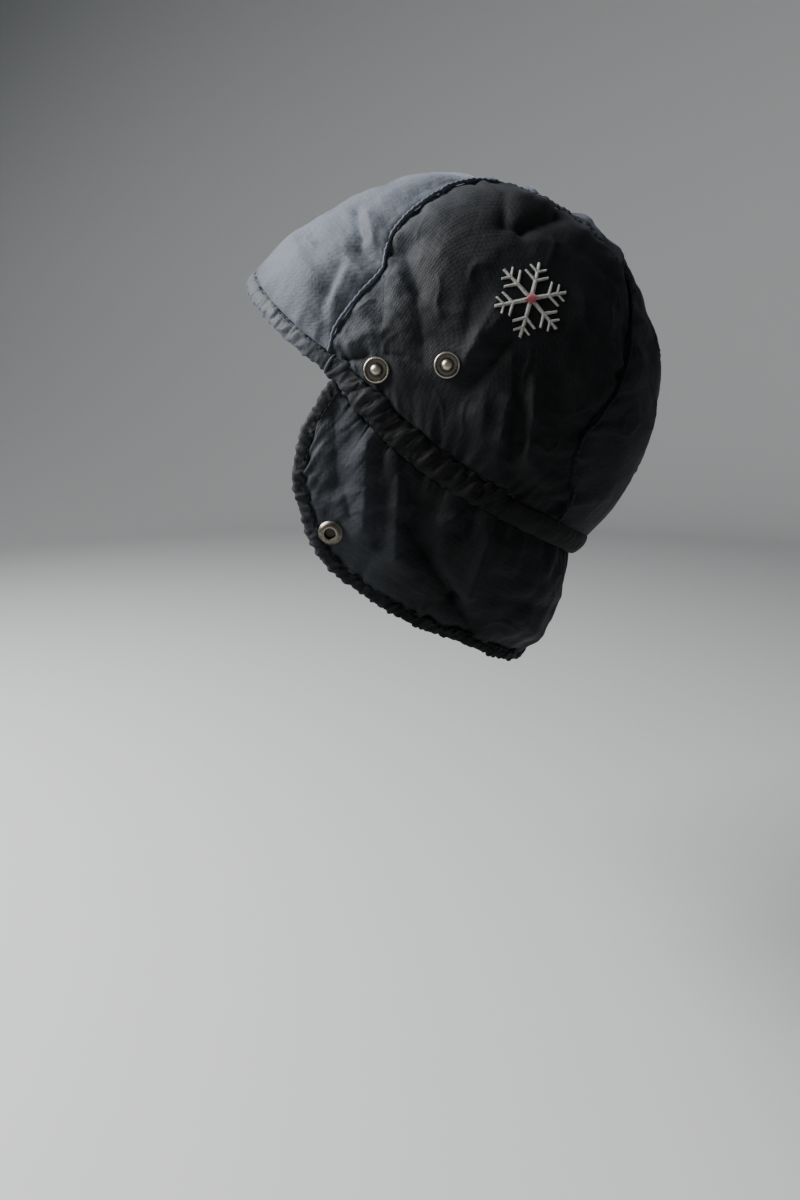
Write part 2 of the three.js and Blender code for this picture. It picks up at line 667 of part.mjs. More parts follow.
addSnapPair('snap_socket', snapSocket(), flapPoint(SOCKET.rib, SOCKET.down), socketNormal);

export default group;
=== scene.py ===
import bpy
import numpy as np
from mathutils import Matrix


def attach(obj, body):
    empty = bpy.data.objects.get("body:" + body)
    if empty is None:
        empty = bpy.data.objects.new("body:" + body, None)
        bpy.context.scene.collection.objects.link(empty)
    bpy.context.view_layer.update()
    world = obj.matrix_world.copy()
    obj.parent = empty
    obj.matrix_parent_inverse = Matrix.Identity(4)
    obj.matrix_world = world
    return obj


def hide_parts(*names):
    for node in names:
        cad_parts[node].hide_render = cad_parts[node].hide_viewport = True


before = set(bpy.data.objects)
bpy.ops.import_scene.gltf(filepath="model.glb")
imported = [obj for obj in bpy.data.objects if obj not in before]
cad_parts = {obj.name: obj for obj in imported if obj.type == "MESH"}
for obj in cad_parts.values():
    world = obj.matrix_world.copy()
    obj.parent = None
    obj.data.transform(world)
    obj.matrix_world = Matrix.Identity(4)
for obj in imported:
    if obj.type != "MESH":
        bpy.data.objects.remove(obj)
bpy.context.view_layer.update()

# The view is from the wearer's left side, level with the crown and tilted down a little,
# and takes in the floor below the hat.
camera = bpy.data.objects.new("camera", bpy.data.cameras.new("camera"))
camera.data.lens = 26.0
camera.data.sensor_width = 36.0
camera.location = (0.498, -0.02975, -0.101)
camera.rotation_euler = np.radians((75.8, 0, 90))
bpy.context.scene.collection.objects.link(camera)
bpy.context.scene.camera = camera


# SIDE PANELS
# The rounded panels over the ears: plain woven cotton with a thin filling and a lining of the
# same cloth, sewn to the centre panel along their curved upper edge and to the band along
# the lower one. The cloth puckers along both seams.

# Sizes are in millimetres and angles in degrees: over the head and round it from the face,
# out to a side, and the rise above the crown's centre. Folds are drawn on the side view.
CLOTH = 3.0
INSIDE_SWELL = 0.4
CENTRE = np.array([0, 0, -103.0])
HALF_WIDTH = 82.0
SQUARENESS = 2.3
MEAN_RADIUS = 97.0
FOLD = "start_y start_z end_y end_z width height"


def table(columns, rows):
    """Rows of a short table, each a dict by the names of the columns."""
    return [dict(zip(columns.split(), row)) for row in rows]


OUTLINE = table("over radius", (
    (-35, 133), (0, 134), (25, 123), (45, 113), (65, 108.5), (90, 106), (110, 105),
    (130, 105.5), (150, 107.5), (175, 110.5), (200, 112), (225, 112.5), (255, 117),
    (290, 124), (325, 133), (360, 134), (385, 123)))
SEAM = table("over out", (
    (13.6, 49), (27, 48.7), (40, 48.7), (54, 47.5), (59, 43.5), (66, 38.5), (74, 34),
    (82, 29), (90, 22.5), (98, 17.5), (108, 15), (125, 14.5), (140, 16), (149, 21),
    (158, 28.5), (168, 34.5), (180, 39.5), (192, 45), (204, 48), (214, 46), (225, 38.5),
    (233.5, 36.5)))
PANEL_EDGE = table("round rise", (
    (40, 12), (51, 7.9), (62, -0.9), (70.5, -9.5), (84.5, -21.1), (97, -28.6), (111, -35),
    (124, -38.8), (148.5, -44.4), (180, -47.8), (211.5, -44.4)))
SIDE_FOLDS = table(FOLD, (
    (-28, -41, -22, -62, 5, -1.8), (-22, -62, -19, -83, 4, -1.4),
    (-31, -52, -24, -64, 4.5, 1.6), (-39, -61, -38, -74, 4, -1.3),
    (-11, -44, 2, -60, 7, 1.3), (-61, -93, -45, -89.5, 2, -2.4),
    (-53, -84, -44, -80, 4, 1.1), (-60, -98, -50, -99, 2, -1.2), (15, -74, 0, -92, 5.5, 2.2),
    (21, -82, 6, -102, 5, -1.8), (20, -110, 17, -128, 4, 2),
    (17, -128, 16, -142, 3.5, 1.6), (33, -106, 31, -138, 3.5, 2.2),
    (26, -108, 24, -142, 4, -1.7), (6, -116, 10, -130, 6, 1.5),
    (48, -100, 46, -122, 8, -2), (-14, -106, -2, -112, 6, -1.3),
    (20, -15, 19.5, -29.5, 3.5, -1.5), (19.5, -29.5, 28, -32, 4, -1.8),
    (28, -32, 46.5, -22.5, 4, -2.8), (46.5, -22.5, 52, -12, 4.5, -3),
    (27, -13, 42, -17, 6.5, 3), (46, -30, 70, -36, 8, 1.2), (68, -27, 84, -44, 9, 2.6)))
SIDE_CREASES = table(FOLD, (
    (15, -65, 6, -80, 2.2, 1), (6, -80, 0, -91, 2, 1), (3, -65, 1, -80, 3, -0.9),
    (22, -89, 22.5, -109, 2.2, 0.9), (22.5, -109, 18.5, -127, 2, 1),
    (33, -100, 33, -118, 2, 0.9), (33, -118, 30, -136, 2, 0.9),
    (9.5, -106, 9.5, -118, 2.5, 0.8), (9.5, -118, 7, -126, 2.2, 0.7),
    (-35, -89, -28.5, -90.5, 1.5, -0.8), (-20, -92, -13, -98.5, 1.8, -0.8),
    (-11, -70, -4, -71, 2.2, 0.8), (-15, -80, -7.5, -86, 2.5, -1),
    (7, -87, 15, -87.5, 2.2, 0.8), (8, -92, 14, -91, 2, -0.8)))
STUDS = [dict(name="front", round=62.9, rise=4.3), dict(name="rear", round=84.4, rise=6.2)]
FLAKE = dict(place=np.array([76, 31, -64.0]), radius=22, calm=0.75)
SIDE_EDGE = dict(start=51.3, sweep=76.6)
SIDE_RELIEF = dict(fade=5, folds=1.25, crumple=1.1, settled=0.75, shape=(90, 50), lip=2)
# Painted shade on the side panels: darker away from the seam, towards the back and towards the bottom,
# where less light falls.
SIDE_PAINTED_SHADE = dict(seam=0.62, seam_ends=(1, 22), front_ends=(-45, 35), low=0.5, low_ends=(95, 135))
SIDE_GROOVE = dict(depth=1.3, width=2.0)
VALLEY = dict(depth=1.2, width=12, ends=14, lip=1.5)
CREST = 1.4
WAVES = dict(count=20, pitch=(0.6, 1.5), height=0.3)
CRUMPLE = dict(dents=0.4, dent_length=28, creases=0.75, crease_length=30, crease_width=0.2,
               crease_power=1.5, patch_length=45, patch_mean=0.5, patch_depth=0.8,
               grain=0.07, grain_length=5, level=-0.2)
SETTLING = dict(scale=10, surplus=0.032, ragged=0.5, ragged_length=14, quality=6, mass=0.15,
                stretch=25.0, shear=12.0, bend=1.5, frames=30, broad=7.0, blend=0.95, cap=1.8)


def look_up(rows, key, column, places):
    """Smooth value of a table's column at places along its key column, or along its row
    numbers where there is no key: a cubic between each two rows, whose slope at a row is
    that of the chord between the rows beside it."""
    values = np.array([row[column] for row in rows], float)
    keys = np.array([row[key] if key else number for number, row in enumerate(rows)], float)
    order = np.arange(len(keys))
    before, after = np.maximum(order - 1, 0), np.minimum(order + 1, len(keys) - 1)
    slopes = (values[after] - values[before]) / (keys[after] - keys[before])
    row = np.clip(np.searchsorted(keys, places) - 1, 0, len(keys) - 2)
    step = keys[row + 1] - keys[row]
    t = (places - keys[row]) / step
    ends = values[row] * (1 + 2 * t) * (1 - t) ** 2 + values[row + 1] * (3 - 2 * t) * t ** 2
    bend = slopes[row] * t * (1 - t) ** 2 + slopes[row + 1] * t ** 2 * (t - 1)
    return ends + step * bend


def unit(vectors):
    """Vectors divided by their own lengths."""
    return vectors / np.linalg.norm(vectors, axis=-1, keepdims=True)


def dot(first, second):
    """Sum of the products of two arrays of vectors, one number for each, kept as a column."""
    return (first * second).sum(-1, keepdims=True)


def over_direction(over, out):
    """Way from the crown's centre, by the angle over the head and the angle out to a side."""
    over, out = np.broadcast_arrays(np.radians(over), np.radians(out))
    flat = np.cos(out)
    return np.stack([np.sin(out), -flat * np.cos(over), flat * np.sin(over)], -1)


def round_direction(turn, rise):
    """Way from the crown's centre, by the angle round the head and the rise."""
    turn, rise = np.broadcast_arrays(np.radians(turn), np.radians(rise))
    flat = np.cos(rise)
    return np.stack([flat * np.sin(turn), -flat * np.cos(turn), np.sin(rise)], -1)


def panel_edge(turn):
    """Way to the lower edge of the panels at an angle round the head, up to 360 degrees."""
    near = np.where(turn > 180, 360 - turn, turn)
    way = round_direction(near, look_up(PANEL_EDGE, "round", "rise", near))
    way[..., 0] *= np.where(turn > 180, -1, 1)
    return way


def crown_point(direction):
    """Point of the smooth crown: the side outline, drawn in at the ears as a superellipse."""
    in_plane = np.hypot(direction[..., 1], direction[..., 2])
    over = np.degrees(np.arctan2(direction[..., 2], -direction[..., 1])) % 360
    lengthways = (in_plane / look_up(OUTLINE, "over", "radius", over)) ** SQUARENESS
    sideways = (np.abs(direction[..., 0]) / HALF_WIDTH) ** SQUARENESS
    radius = (lengthways + sideways) ** (-1 / SQUARENESS)
    return CENTRE + direction * radius[..., None]


def crown_normal(direction):
    """Way out of the smooth crown: the cross product of two short steps over it."""
    short, step = 0.2, 0.02
    across = np.cross((1.0, 0, 0), direction)
    poor = np.linalg.norm(across, axis=-1) < short
    across[poor] = np.cross((0, 1.0, 0), direction[poor])
    across = unit(across)
    along = np.cross(direction, across)
    over_across = (crown_point(unit(direction + step * across))
                   - crown_point(unit(direction - step * across)))
    over_along = (crown_point(unit(direction + step * along))
                  - crown_point(unit(direction - step * along)))
    return unit(np.cross(over_across, over_along))


def fold_height(folds, points):
    """Height of soft folds: each is a ridge or a valley along a straight line that is drawn on
    the side view, in Y and Z, and its section is a bell drawn in to a crisper crest."""
    height = np.zeros(points.shape[:-1])
    for fold in folds:
        start = np.array([fold["start_y"], fold["start_z"]])
        line = np.array([fold["end_y"], fold["end_z"]]) - start
        offset = points[..., 1:] - start
        near = np.clip(offset @ line / (line @ line), 0, 1)
        offset = offset - near[..., None] * line
        distance = np.linalg.norm(offset, axis=-1) / fold["width"]
        height += fold["height"] * np.exp(-distance ** CREST)
    return height


def wander(points, length, seed):
    """Smooth random height between about -1 and 1: the sum of many sine waves of about the
    given length in millimetres, which run in all directions."""
    source = np.random.default_rng(seed)
    count = WAVES["count"]
    ways = unit(source.normal(size=(count, 3))) * source.uniform(*WAVES["pitch"], (count, 1))
    phases = source.uniform(0, 2 * np.pi, count)
    return np.sin(points @ ways.T * (2 * np.pi / length) + phases).sum(-1) * WAVES["height"]


def crumple(points, seed):
    """Height of worn, washed cloth: broad dents, soft creases in patches, along the lines
    where a random height is nil, and a small grain of dimples."""
    dents = CRUMPLE["dents"] * wander(points, CRUMPLE["dent_length"], seed)
    lines = wander(points, CRUMPLE["crease_length"], seed + 1) / CRUMPLE["crease_width"]
    creases = CRUMPLE["creases"] * np.exp(-np.abs(lines) ** CRUMPLE["crease_power"])
    patches = CRUMPLE["patch_depth"] * wander(points, CRUMPLE["patch_length"], seed + 3)
    patches = np.clip(CRUMPLE["patch_mean"] + patches, 0, 1)
    grain = CRUMPLE["grain"] * wander(points, CRUMPLE["grain_length"], seed + 4)
    return dents + patches * creases + CRUMPLE["level"] + grain


def spread(total, picks, width):
    """Weights that spread values at picked rows or columns over all of them: a bell of the
    given width in picks round each one, and the weights of one row add up to one."""
    step = (total - 1) / (len(picks) - 1)
    bell = np.exp(-((np.arange(total)[:, None] - picks) / (width * step)) ** 2)
    return bell / bell.sum(1, keepdims=True)


def grid_quads(index):
    """Quads between the points of a grid, given by their numbers."""
    corners = [index[:-1, :-1], index[1:, :-1], index[1:, 1:], index[:-1, 1:]]
    return np.stack(corners, -1).reshape(-1, 4)


def settled(points, normals, seed, shape):
    """Wrinkles of padded cloth that is cut a little larger than the frame it is sewn into: a
    coarse, enlarged copy of the panel is pinned along its edges, grown by the surplus and
    left to buckle in the cloth solver. Gives each point's move along its own normal in
    millimetres, less the broad swell."""
    picks = [np.linspace(0, total - 1, count).round().astype(int)
             for total, count in zip(points.shape[:2], shape)]
    spots, ways = points[np.ix_(*picks)], normals[np.ix_(*picks)]
    index = np.arange(spots[..., 0].size).reshape(shape)
    uneven = SETTLING["ragged"] * wander(spots, SETTLING["ragged_length"], seed)
    size = 0.001 * SETTLING["scale"]
    ragged = (spots + ways * uneven[..., None]).reshape(-1, 3) * size
    mesh = bpy.data.meshes.new("settling")
    mesh.from_pydata(ragged.tolist(), [], grid_quads(index).tolist())
    copy = bpy.data.objects.new("settling", mesh)
    bpy.context.scene.collection.objects.link(copy)
    edge = np.unique(np.concatenate([index[0], index[-1], index[:, 0], index[:, -1]]))
    copy.vertex_groups.new(name="edge").add(edge.tolist(), 1.0, "REPLACE")
    cloth = copy.modifiers.new("cloth", "CLOTH").settings
    cloth.quality = SETTLING["quality"]
    cloth.mass = SETTLING["mass"]
    cloth.tension_stiffness = cloth.compression_stiffness = SETTLING["stretch"]
    cloth.shear_stiffness = SETTLING["shear"]
    cloth.bending_stiffness = SETTLING["bend"]
    cloth.vertex_group_mass = "edge"
    cloth.shrink_min = -SETTLING["surplus"]
    cloth.effector_weights.gravity = 0
    for number in range(1, SETTLING["frames"] + 1):
        bpy.context.scene.frame_set(number)
    places = np.empty(spots.size)
    copy.evaluated_get(bpy.context.evaluated_depsgraph_get()).data.vertices.foreach_get("co", places)
    bpy.data.objects.remove(copy)
    bpy.context.scene.frame_set(1)
    move = dot(places.reshape(spots.shape) / size - spots, ways)[..., 0]
    rows, columns = (spread(count, np.arange(count), SETTLING["broad"]) for count in shape)
    move = SETTLING["cap"] * np.tanh((move - rows @ move @ columns.T) / SETTLING["cap"])
    rows, columns = (spread(total, pick, SETTLING["blend"])
                     for total, pick in zip(points.shape[:2], picks))
    return rows @ move @ columns.T


def lengths(points, axis):
    """Distance run along one axis of a grid of points, from its first row or column."""
    steps = np.linalg.norm(np.diff(points, axis=axis), axis=-1)
    start = np.zeros_like(np.take(steps, [0], axis))
    return np.concatenate([start, np.cumsum(steps, axis)], axis)


def mesh_piece(name, points, faces, uv, material):
    """Mesh object at the origin from points in millimetres, faces that are turned to point
    outwards as the sign of the enclosed volume asks, and a UV place for each face corner."""
    corners = points[[face[:3] for face in faces]] - points.mean(0)
    if dot(corners[:, 0], np.cross(corners[:, 1], corners[:, 2])).sum() < 0:
        faces, uv = [face[::-1] for face in faces], [spot[::-1] for spot in uv]
    mesh = bpy.data.meshes.new(name)
    mesh.from_pydata((points * 0.001).tolist(), [], faces)
    mesh.uv_layers.new(name="cloth").data.foreach_set("uv", np.concatenate(uv).ravel() * 0.001)
    mesh.shade_smooth()
    mesh.materials.append(material)
    piece = bpy.data.objects.new(name, mesh)
    bpy.context.scene.collection.objects.link(piece)
    return piece


def mark(piece, name, values):
    """Stores a value for each point of a piece, which its material reads."""
    layer = piece.data.attributes.new(name, "FLOAT", "POINT")
    layer.data.foreach_set("value", values.astype(np.float32))


def cloth_wall(name, outer, inner, material, painted_shade):
    """Closed wall of cloth between two grids of points: quads over the outside, the same
    quads turned over on the inside, and one strip of quads round all four edges. Its UV map
    runs in millimetres along the rows and the columns, and the inside takes the painted shade
    of the outside's darkest places."""
    rows, columns = outer.shape[:2]
    index = np.arange(rows * columns).reshape(rows, columns)
    quads = grid_quads(index)
    border = np.concatenate([index[0, :-1], index[:-1, -1], index[-1, :0:-1], index[:0:-1, 0]])
    after = np.roll(border, -1)
    rim = np.stack([border, after, after + index.size, border + index.size], -1)
    faces = np.concatenate([quads, quads[:, ::-1] + index.size, rim])
    spots = np.stack([lengths(outer, 0), lengths(outer, 1)], -1).reshape(-1, 2)
    spots = np.concatenate([spots, spots])
    points = np.concatenate([outer.reshape(-1, 3), inner.reshape(-1, 3)])
    piece = mesh_piece(name, points, faces.tolist(), list(spots[faces]), material)
    # Painted shade for each point: the inside is as dark as the outside's darkest place.
    mark(piece, "painted_shade", np.concatenate([painted_shade.ravel(), np.full(painted_shade.size, painted_shade.max())]))
    return piece


def ease(values, low, high):
    """Nil below the low value, one above the high one, and a smooth step between them."""
    t = np.clip((values - low) / (high - low), 0, 1)
    return t * t * (3 - 2 * t)


def texture(tree, kind, vector, **sockets):
    """Grey of a texture node on the given coordinates, with its sockets set."""
    node = tree.nodes.new(kind)
    tree.links.new(vector, node.inputs["Vector"])
    for name, value in sockets.items():
        node.inputs[name.replace("_", " ")].default_value = value
    return node.outputs["Fac"]


def ramp(tree, factor, low, high, start=0.0, end=1.0):
    """Colours from low to high as the factor goes from start to end; one number is a grey."""
    node = tree.nodes.new("ShaderNodeMix")
    node.data_type = "RGBA"
    share = tree.nodes.new("ShaderNodeMapRange")
    share.inputs["From Min"].default_value = start
    share.inputs["From Max"].default_value = end
    tree.links.new(factor, share.inputs["Value"])
    tree.links.new(share.outputs["Result"], node.inputs["Factor"])
    node.inputs["A"].default_value = (*(np.ones(3) * low), 1)
    node.inputs["B"].default_value = (*(np.ones(3) * high), 1)
    return node.outputs["Result"]


def product(tree, first, second):
    """Colour that is the product of two colours."""
    node = tree.nodes.new("ShaderNodeMix")
    node.data_type, node.blend_type = "RGBA", "MULTIPLY"
    node.inputs["Factor"].default_value = 1.0
    tree.links.new(first, node.inputs["A"])
    tree.links.new(second, node.inputs["B"])
    return node.outputs["Result"]


def new_material(name):
    """A new material, its node tree and its shader."""
    material = bpy.data.materials.new(name)
    material.use_nodes = True
    return material, material.node_tree, material.node_tree.nodes["Principled BSDF"]


def bump(tree, height, strength, distance):
    """Bump node that tilts the surface by the slope of a height, the distance in metres."""
    node = tree.nodes.new("ShaderNodeBump")
    node.inputs["Strength"].default_value = strength
    node.inputs["Distance"].default_value = distance
    tree.links.new(height, node.inputs["Height"])
    return node


def cotton(name, dark, light, sheen, thread=0.42):
    """Woven cotton: two tones in soft clouds with specks of fade, painted shade that darkens the
    colour and dims the sheen where the piece's shade attribute is high, a plain weave of the
    given thread in millimetres on the UV map, crinkles finer than the mesh, and a faint sheen."""
    material, tree, shader = new_material(name)
    place = tree.nodes.new("ShaderNodeTexCoord").outputs
    clouds = texture(tree, "ShaderNodeTexNoise", place["Object"], Scale=45.0, Detail=4.0,
                     Roughness=0.6)
    specks = texture(tree, "ShaderNodeTexNoise", place["Object"], Scale=1400.0, Detail=2.0)
    painted_shade = tree.nodes.new("ShaderNodeAttribute")
    painted_shade.attribute_name = "painted_shade"
    tone = ramp(tree, clouds, dark, light, start=0.3, end=0.7)
    tone = product(tree, tone, ramp(tree, specks, 0.78, 1.25, start=0.3, end=0.7))
    # Painted shade: the colour darkens as the piece's shade attribute rises.
    tone = product(tree, tone, ramp(tree, painted_shade.outputs["Fac"], 1.0, 0.1))
    tree.links.new(tone, shader.inputs["Base Color"])
    threads = [texture(tree, "ShaderNodeTexWave", place["UV"], Scale=50.0 / thread,
                       Distortion=1.2, Detail=1.0, Detail_Scale=0.4) for _ in range(2)]
    threads[1].node.bands_direction = "Y"
    weave = tree.nodes.new("ShaderNodeMath")
    weave.operation = "MULTIPLY"
    for wave, socket in zip(threads, weave.inputs):
        tree.links.new(wave, socket)
    crinkle = texture(tree, "ShaderNodeTexNoise", place["Object"], Scale=330.0, Detail=5.0,
                      Roughness=0.62)
    crinkled = bump(tree, crinkle, strength=0.35, distance=0.0009)
    woven = bump(tree, weave.outputs["Value"], strength=0.5, distance=0.00016)
    tree.links.new(crinkled.outputs["Normal"], woven.inputs["Normal"])
    tree.links.new(woven.outputs["Normal"], shader.inputs["Normal"])
    tree.links.new(ramp(tree, clouds, 0.62, 0.85, start=0.3, end=0.7), shader.inputs["Roughness"])
    shader.inputs["Specular IOR Level"].default_value = 0.18
    # Painted shade also dims the sheen where the attribute is high.
    tree.links.new(ramp(tree, painted_shade.outputs["Fac"], sheen, 0.2 * sheen),
                   shader.inputs["Sheen Weight"])
    shader.inputs["Sheen Roughness"].default_value = 0.45
    shader.inputs["Sheen Tint"].default_value = (0.72, 0.8, 1.0, 1)
    return material


def clear_of(points, places, radius=7.5):
    """Share of the folds that is left near snaps, where the cloth lies flat: nil at a snap,
    one away from it."""
    share = np.ones(points.shape[:-1])
    for place in places:
        distance = np.hypot(points[..., 1] - place[1], points[..., 2] - place[2])
        share *= 1 - np.exp(-(distance / radius) ** 4)
    return share


def ripple(run, across, length, seed):
    """Random height on a flat sheet, by the millimetres run along it and across it."""
    run, across = np.broadcast_arrays(run, across)
    return wander(np.stack([run, across, 0 * run], -1), length, seed)


def puckers(run, distance, seed, height, length, reach, lean=0.0):
    """Small folds that start at a seam and die away over their reach: a random height that
    changes along the seam and, by the share that is the lean, away from it."""
    return height * ripple(run, lean * distance, length, seed) * np.exp(-distance / reach)


def seam_relief(distance, along, run, groove, seed):
    """Depth of the cloth beside a seam: a broad valley along it, a narrow groove at the seam,
    and puckers across it which run on into the panel and die away."""
    ends = np.clip(np.minimum(along, 1 - along) * VALLEY["ends"], 0, 1)
    valley = VALLEY["depth"] * np.exp(-(distance / VALLEY["width"]) ** 2)
    valley += groove["depth"] * np.exp(-(distance / groove["width"]) ** 2)
    short = puckers(run, distance, seed, height=0.35, length=5, reach=4, lean=0.25)
    broad = puckers(run, distance, seed + 1, height=0.9, length=11, reach=10, lean=0.25)
    return (short + broad) * np.clip(distance / VALLEY["lip"], 0, 1) - ends * valley


def beside_seam(points, seam):
    """Distance of points from a seam line, square to it, and how far along the line from its
    start they lie: both from the nearest of its points and the way of the line there."""
    apart = np.linalg.norm(points[:, :, None] - seam, axis=-1)
    near = apart.argmin(-1)
    way = unit(np.gradient(seam, axis=0))
    shift = dot(points - seam[near], way[near])[..., 0]
    distance = np.sqrt(np.maximum(apart.min(-1) ** 2 - shift ** 2, 0))
    return distance, lengths(seam, 0)[near] + shift


stud_ways = round_direction([stud["round"] for stud in STUDS], [stud["rise"] for stud in STUDS])
stud_points = crown_point(stud_ways)
seam_start, seam_end = SEAM[0]["over"], SEAM[-1]["over"]


def both_faces(point, normal, relief):
    """Outer and inner points of a padded wall: the outside takes the whole relief, and the
    inside follows its dents but only the foot of its swells."""
    inside = np.minimum(relief, INSIDE_SWELL) - CLOTH
    return point + normal * relief[..., None], point + normal * inside[..., None]


def side_panel(name, mirror, seed, rows=300, columns=110):
    """Wall of cloth whose rows run from a place on the seam to one on the lower edge, along
    great circles round the crown's centre, raised by the folds and sunk along the seams."""
    along, down = np.meshgrid(np.linspace(0, 1, rows), np.linspace(0, 1, columns), indexing="ij")
    over = seam_start + (seam_end - seam_start) * along
    seam = over_direction(over, look_up(SEAM, "over", "out", over))
    edge = panel_edge(SIDE_EDGE["start"] + SIDE_EDGE["sweep"] * along)
    arc = np.arccos(np.clip(dot(seam, edge), -1, 1))
    way = unit(seam * np.sin((1 - down[..., None]) * arc) + edge * np.sin(down[..., None] * arc))
    normal, point = crown_normal(way), crown_point(way)
    fade = np.clip(np.minimum(down, 1 - down) * SIDE_RELIEF["fade"], 0, 1)
    calm = clear_of(point, stud_points)
    folds = SIDE_RELIEF["folds"] * fold_height(SIDE_FOLDS, point) + fold_height(SIDE_CREASES, point)
    relief = fade * folds * calm
    if not mirror:
        from_flake = np.linalg.norm(point - FLAKE["place"], axis=-1) / FLAKE["radius"]
        calm = calm * (1 - FLAKE["calm"] * np.exp(-from_flake ** 6))
    wrinkles = (SIDE_RELIEF["crumple"] * crumple(point, seed)
                + SIDE_RELIEF["settled"] * settled(point, normal, seed, SIDE_RELIEF["shape"]))
    relief += fade * calm * wrinkles
    from_seam, run = beside_seam(point, point[::3, 0])
    relief += seam_relief(from_seam, along, run, SIDE_GROOVE, seed + 20)
    from_band = (1 - down) * arc[..., 0] * MEAN_RADIUS
    gathers = puckers(lengths(point, 0)[:, -1:], from_band, seed + 30, height=0.9, length=9, reach=9)
    relief += gathers * np.clip(from_band / SIDE_RELIEF["lip"], 0, 1)
    outer, inner = both_faces(point, normal, relief)
    if mirror:
        outer, inner = outer * (-1, 1, 1), inner * (-1, 1, 1)
    # Painted shade: the lit share drops away from the seam, towards the back and towards the bottom,
    # and the rest is drawn darker.
    painted_light = 1 - SIDE_PAINTED_SHADE["seam"] * ease(from_seam, *SIDE_PAINTED_SHADE["seam_ends"])
    painted_light = painted_light * (1 - ease(point[..., 1], *SIDE_PAINTED_SHADE["front_ends"]))
    painted_light = painted_light * (1 - SIDE_PAINTED_SHADE["low"] * ease(-point[..., 2], *SIDE_PAINTED_SHADE["low_ends"]))
    piece = cloth_wall(name + "_cloth", outer, inner, side_cotton, 1 - painted_light)
    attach(piece, "root")
    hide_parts(name)
    return outer


side_cotton = cotton("side_cotton", (0.028, 0.032, 0.037), (0.042, 0.0465, 0.055), 0.12)
left_cloth = side_panel("side_panel_left", False, 11)
side_panel("side_panel_right", True, 57)


# CENTRE PANEL
# The long panel from the forehead over the top to the nape: the same padded cotton. It is
# cut wide at the forehead and at the nape and narrow on top, and its lower end is sewn
# to the band.
FOREHEAD = dict(lift=16.0, curve=1.7, reach=0.45)
NAPE = dict(half=51.2, bend=(0.82, 1))
CENTRE_GROOVE = dict(depth=1.2, width=2.9)
RIM_GROOVE = dict(depth=0.6, width=2.5, lip=1.5)
CENTRE_RELIEF = dict(fade_ends=12, fade_sides=6, folds=1.5, settled=0.7, shape=(120, 40))
# Painted shade on the centre panel: darker towards the nape, at its sides by the seams and near its
# front edge by the rim.
CENTRE_PAINTED_SHADE = dict(top_ends=(0.36, 0.65), sides=0.4, side_ends=(0.35, 1), rim=0.3, rim_ends=(-14, 0))
CENTRE_FOLDS = table(FOLD, (
    (-48.5, -41, -36, -50.5, 3.2, -1.9), (-54, -46, -46, -52, 5, 1.5),
    (-55, -52, -61, -62, 4.5, 1.5), (-61, -62, -62.5, -74, 4, 1.2),
    (-58, -49, -64.5, -60, 4, -1.8), (-64.5, -60, -67.5, -71, 4, -1.5),
    (-50.5, -22, -48, -35, 3.5, -1.8), (-45, -24, -42.5, -37, 4, 1.2),
    (-84, -32, -74, -48, 9, 0.9), (27, -1, 27, -8, 3.5, -1.2), (38, -3, 36, -12, 6, 0.8),
    (51, -9, 50, -22, 4.5, -2.6), (66, -24, 84, -43, 9, 2.2)))


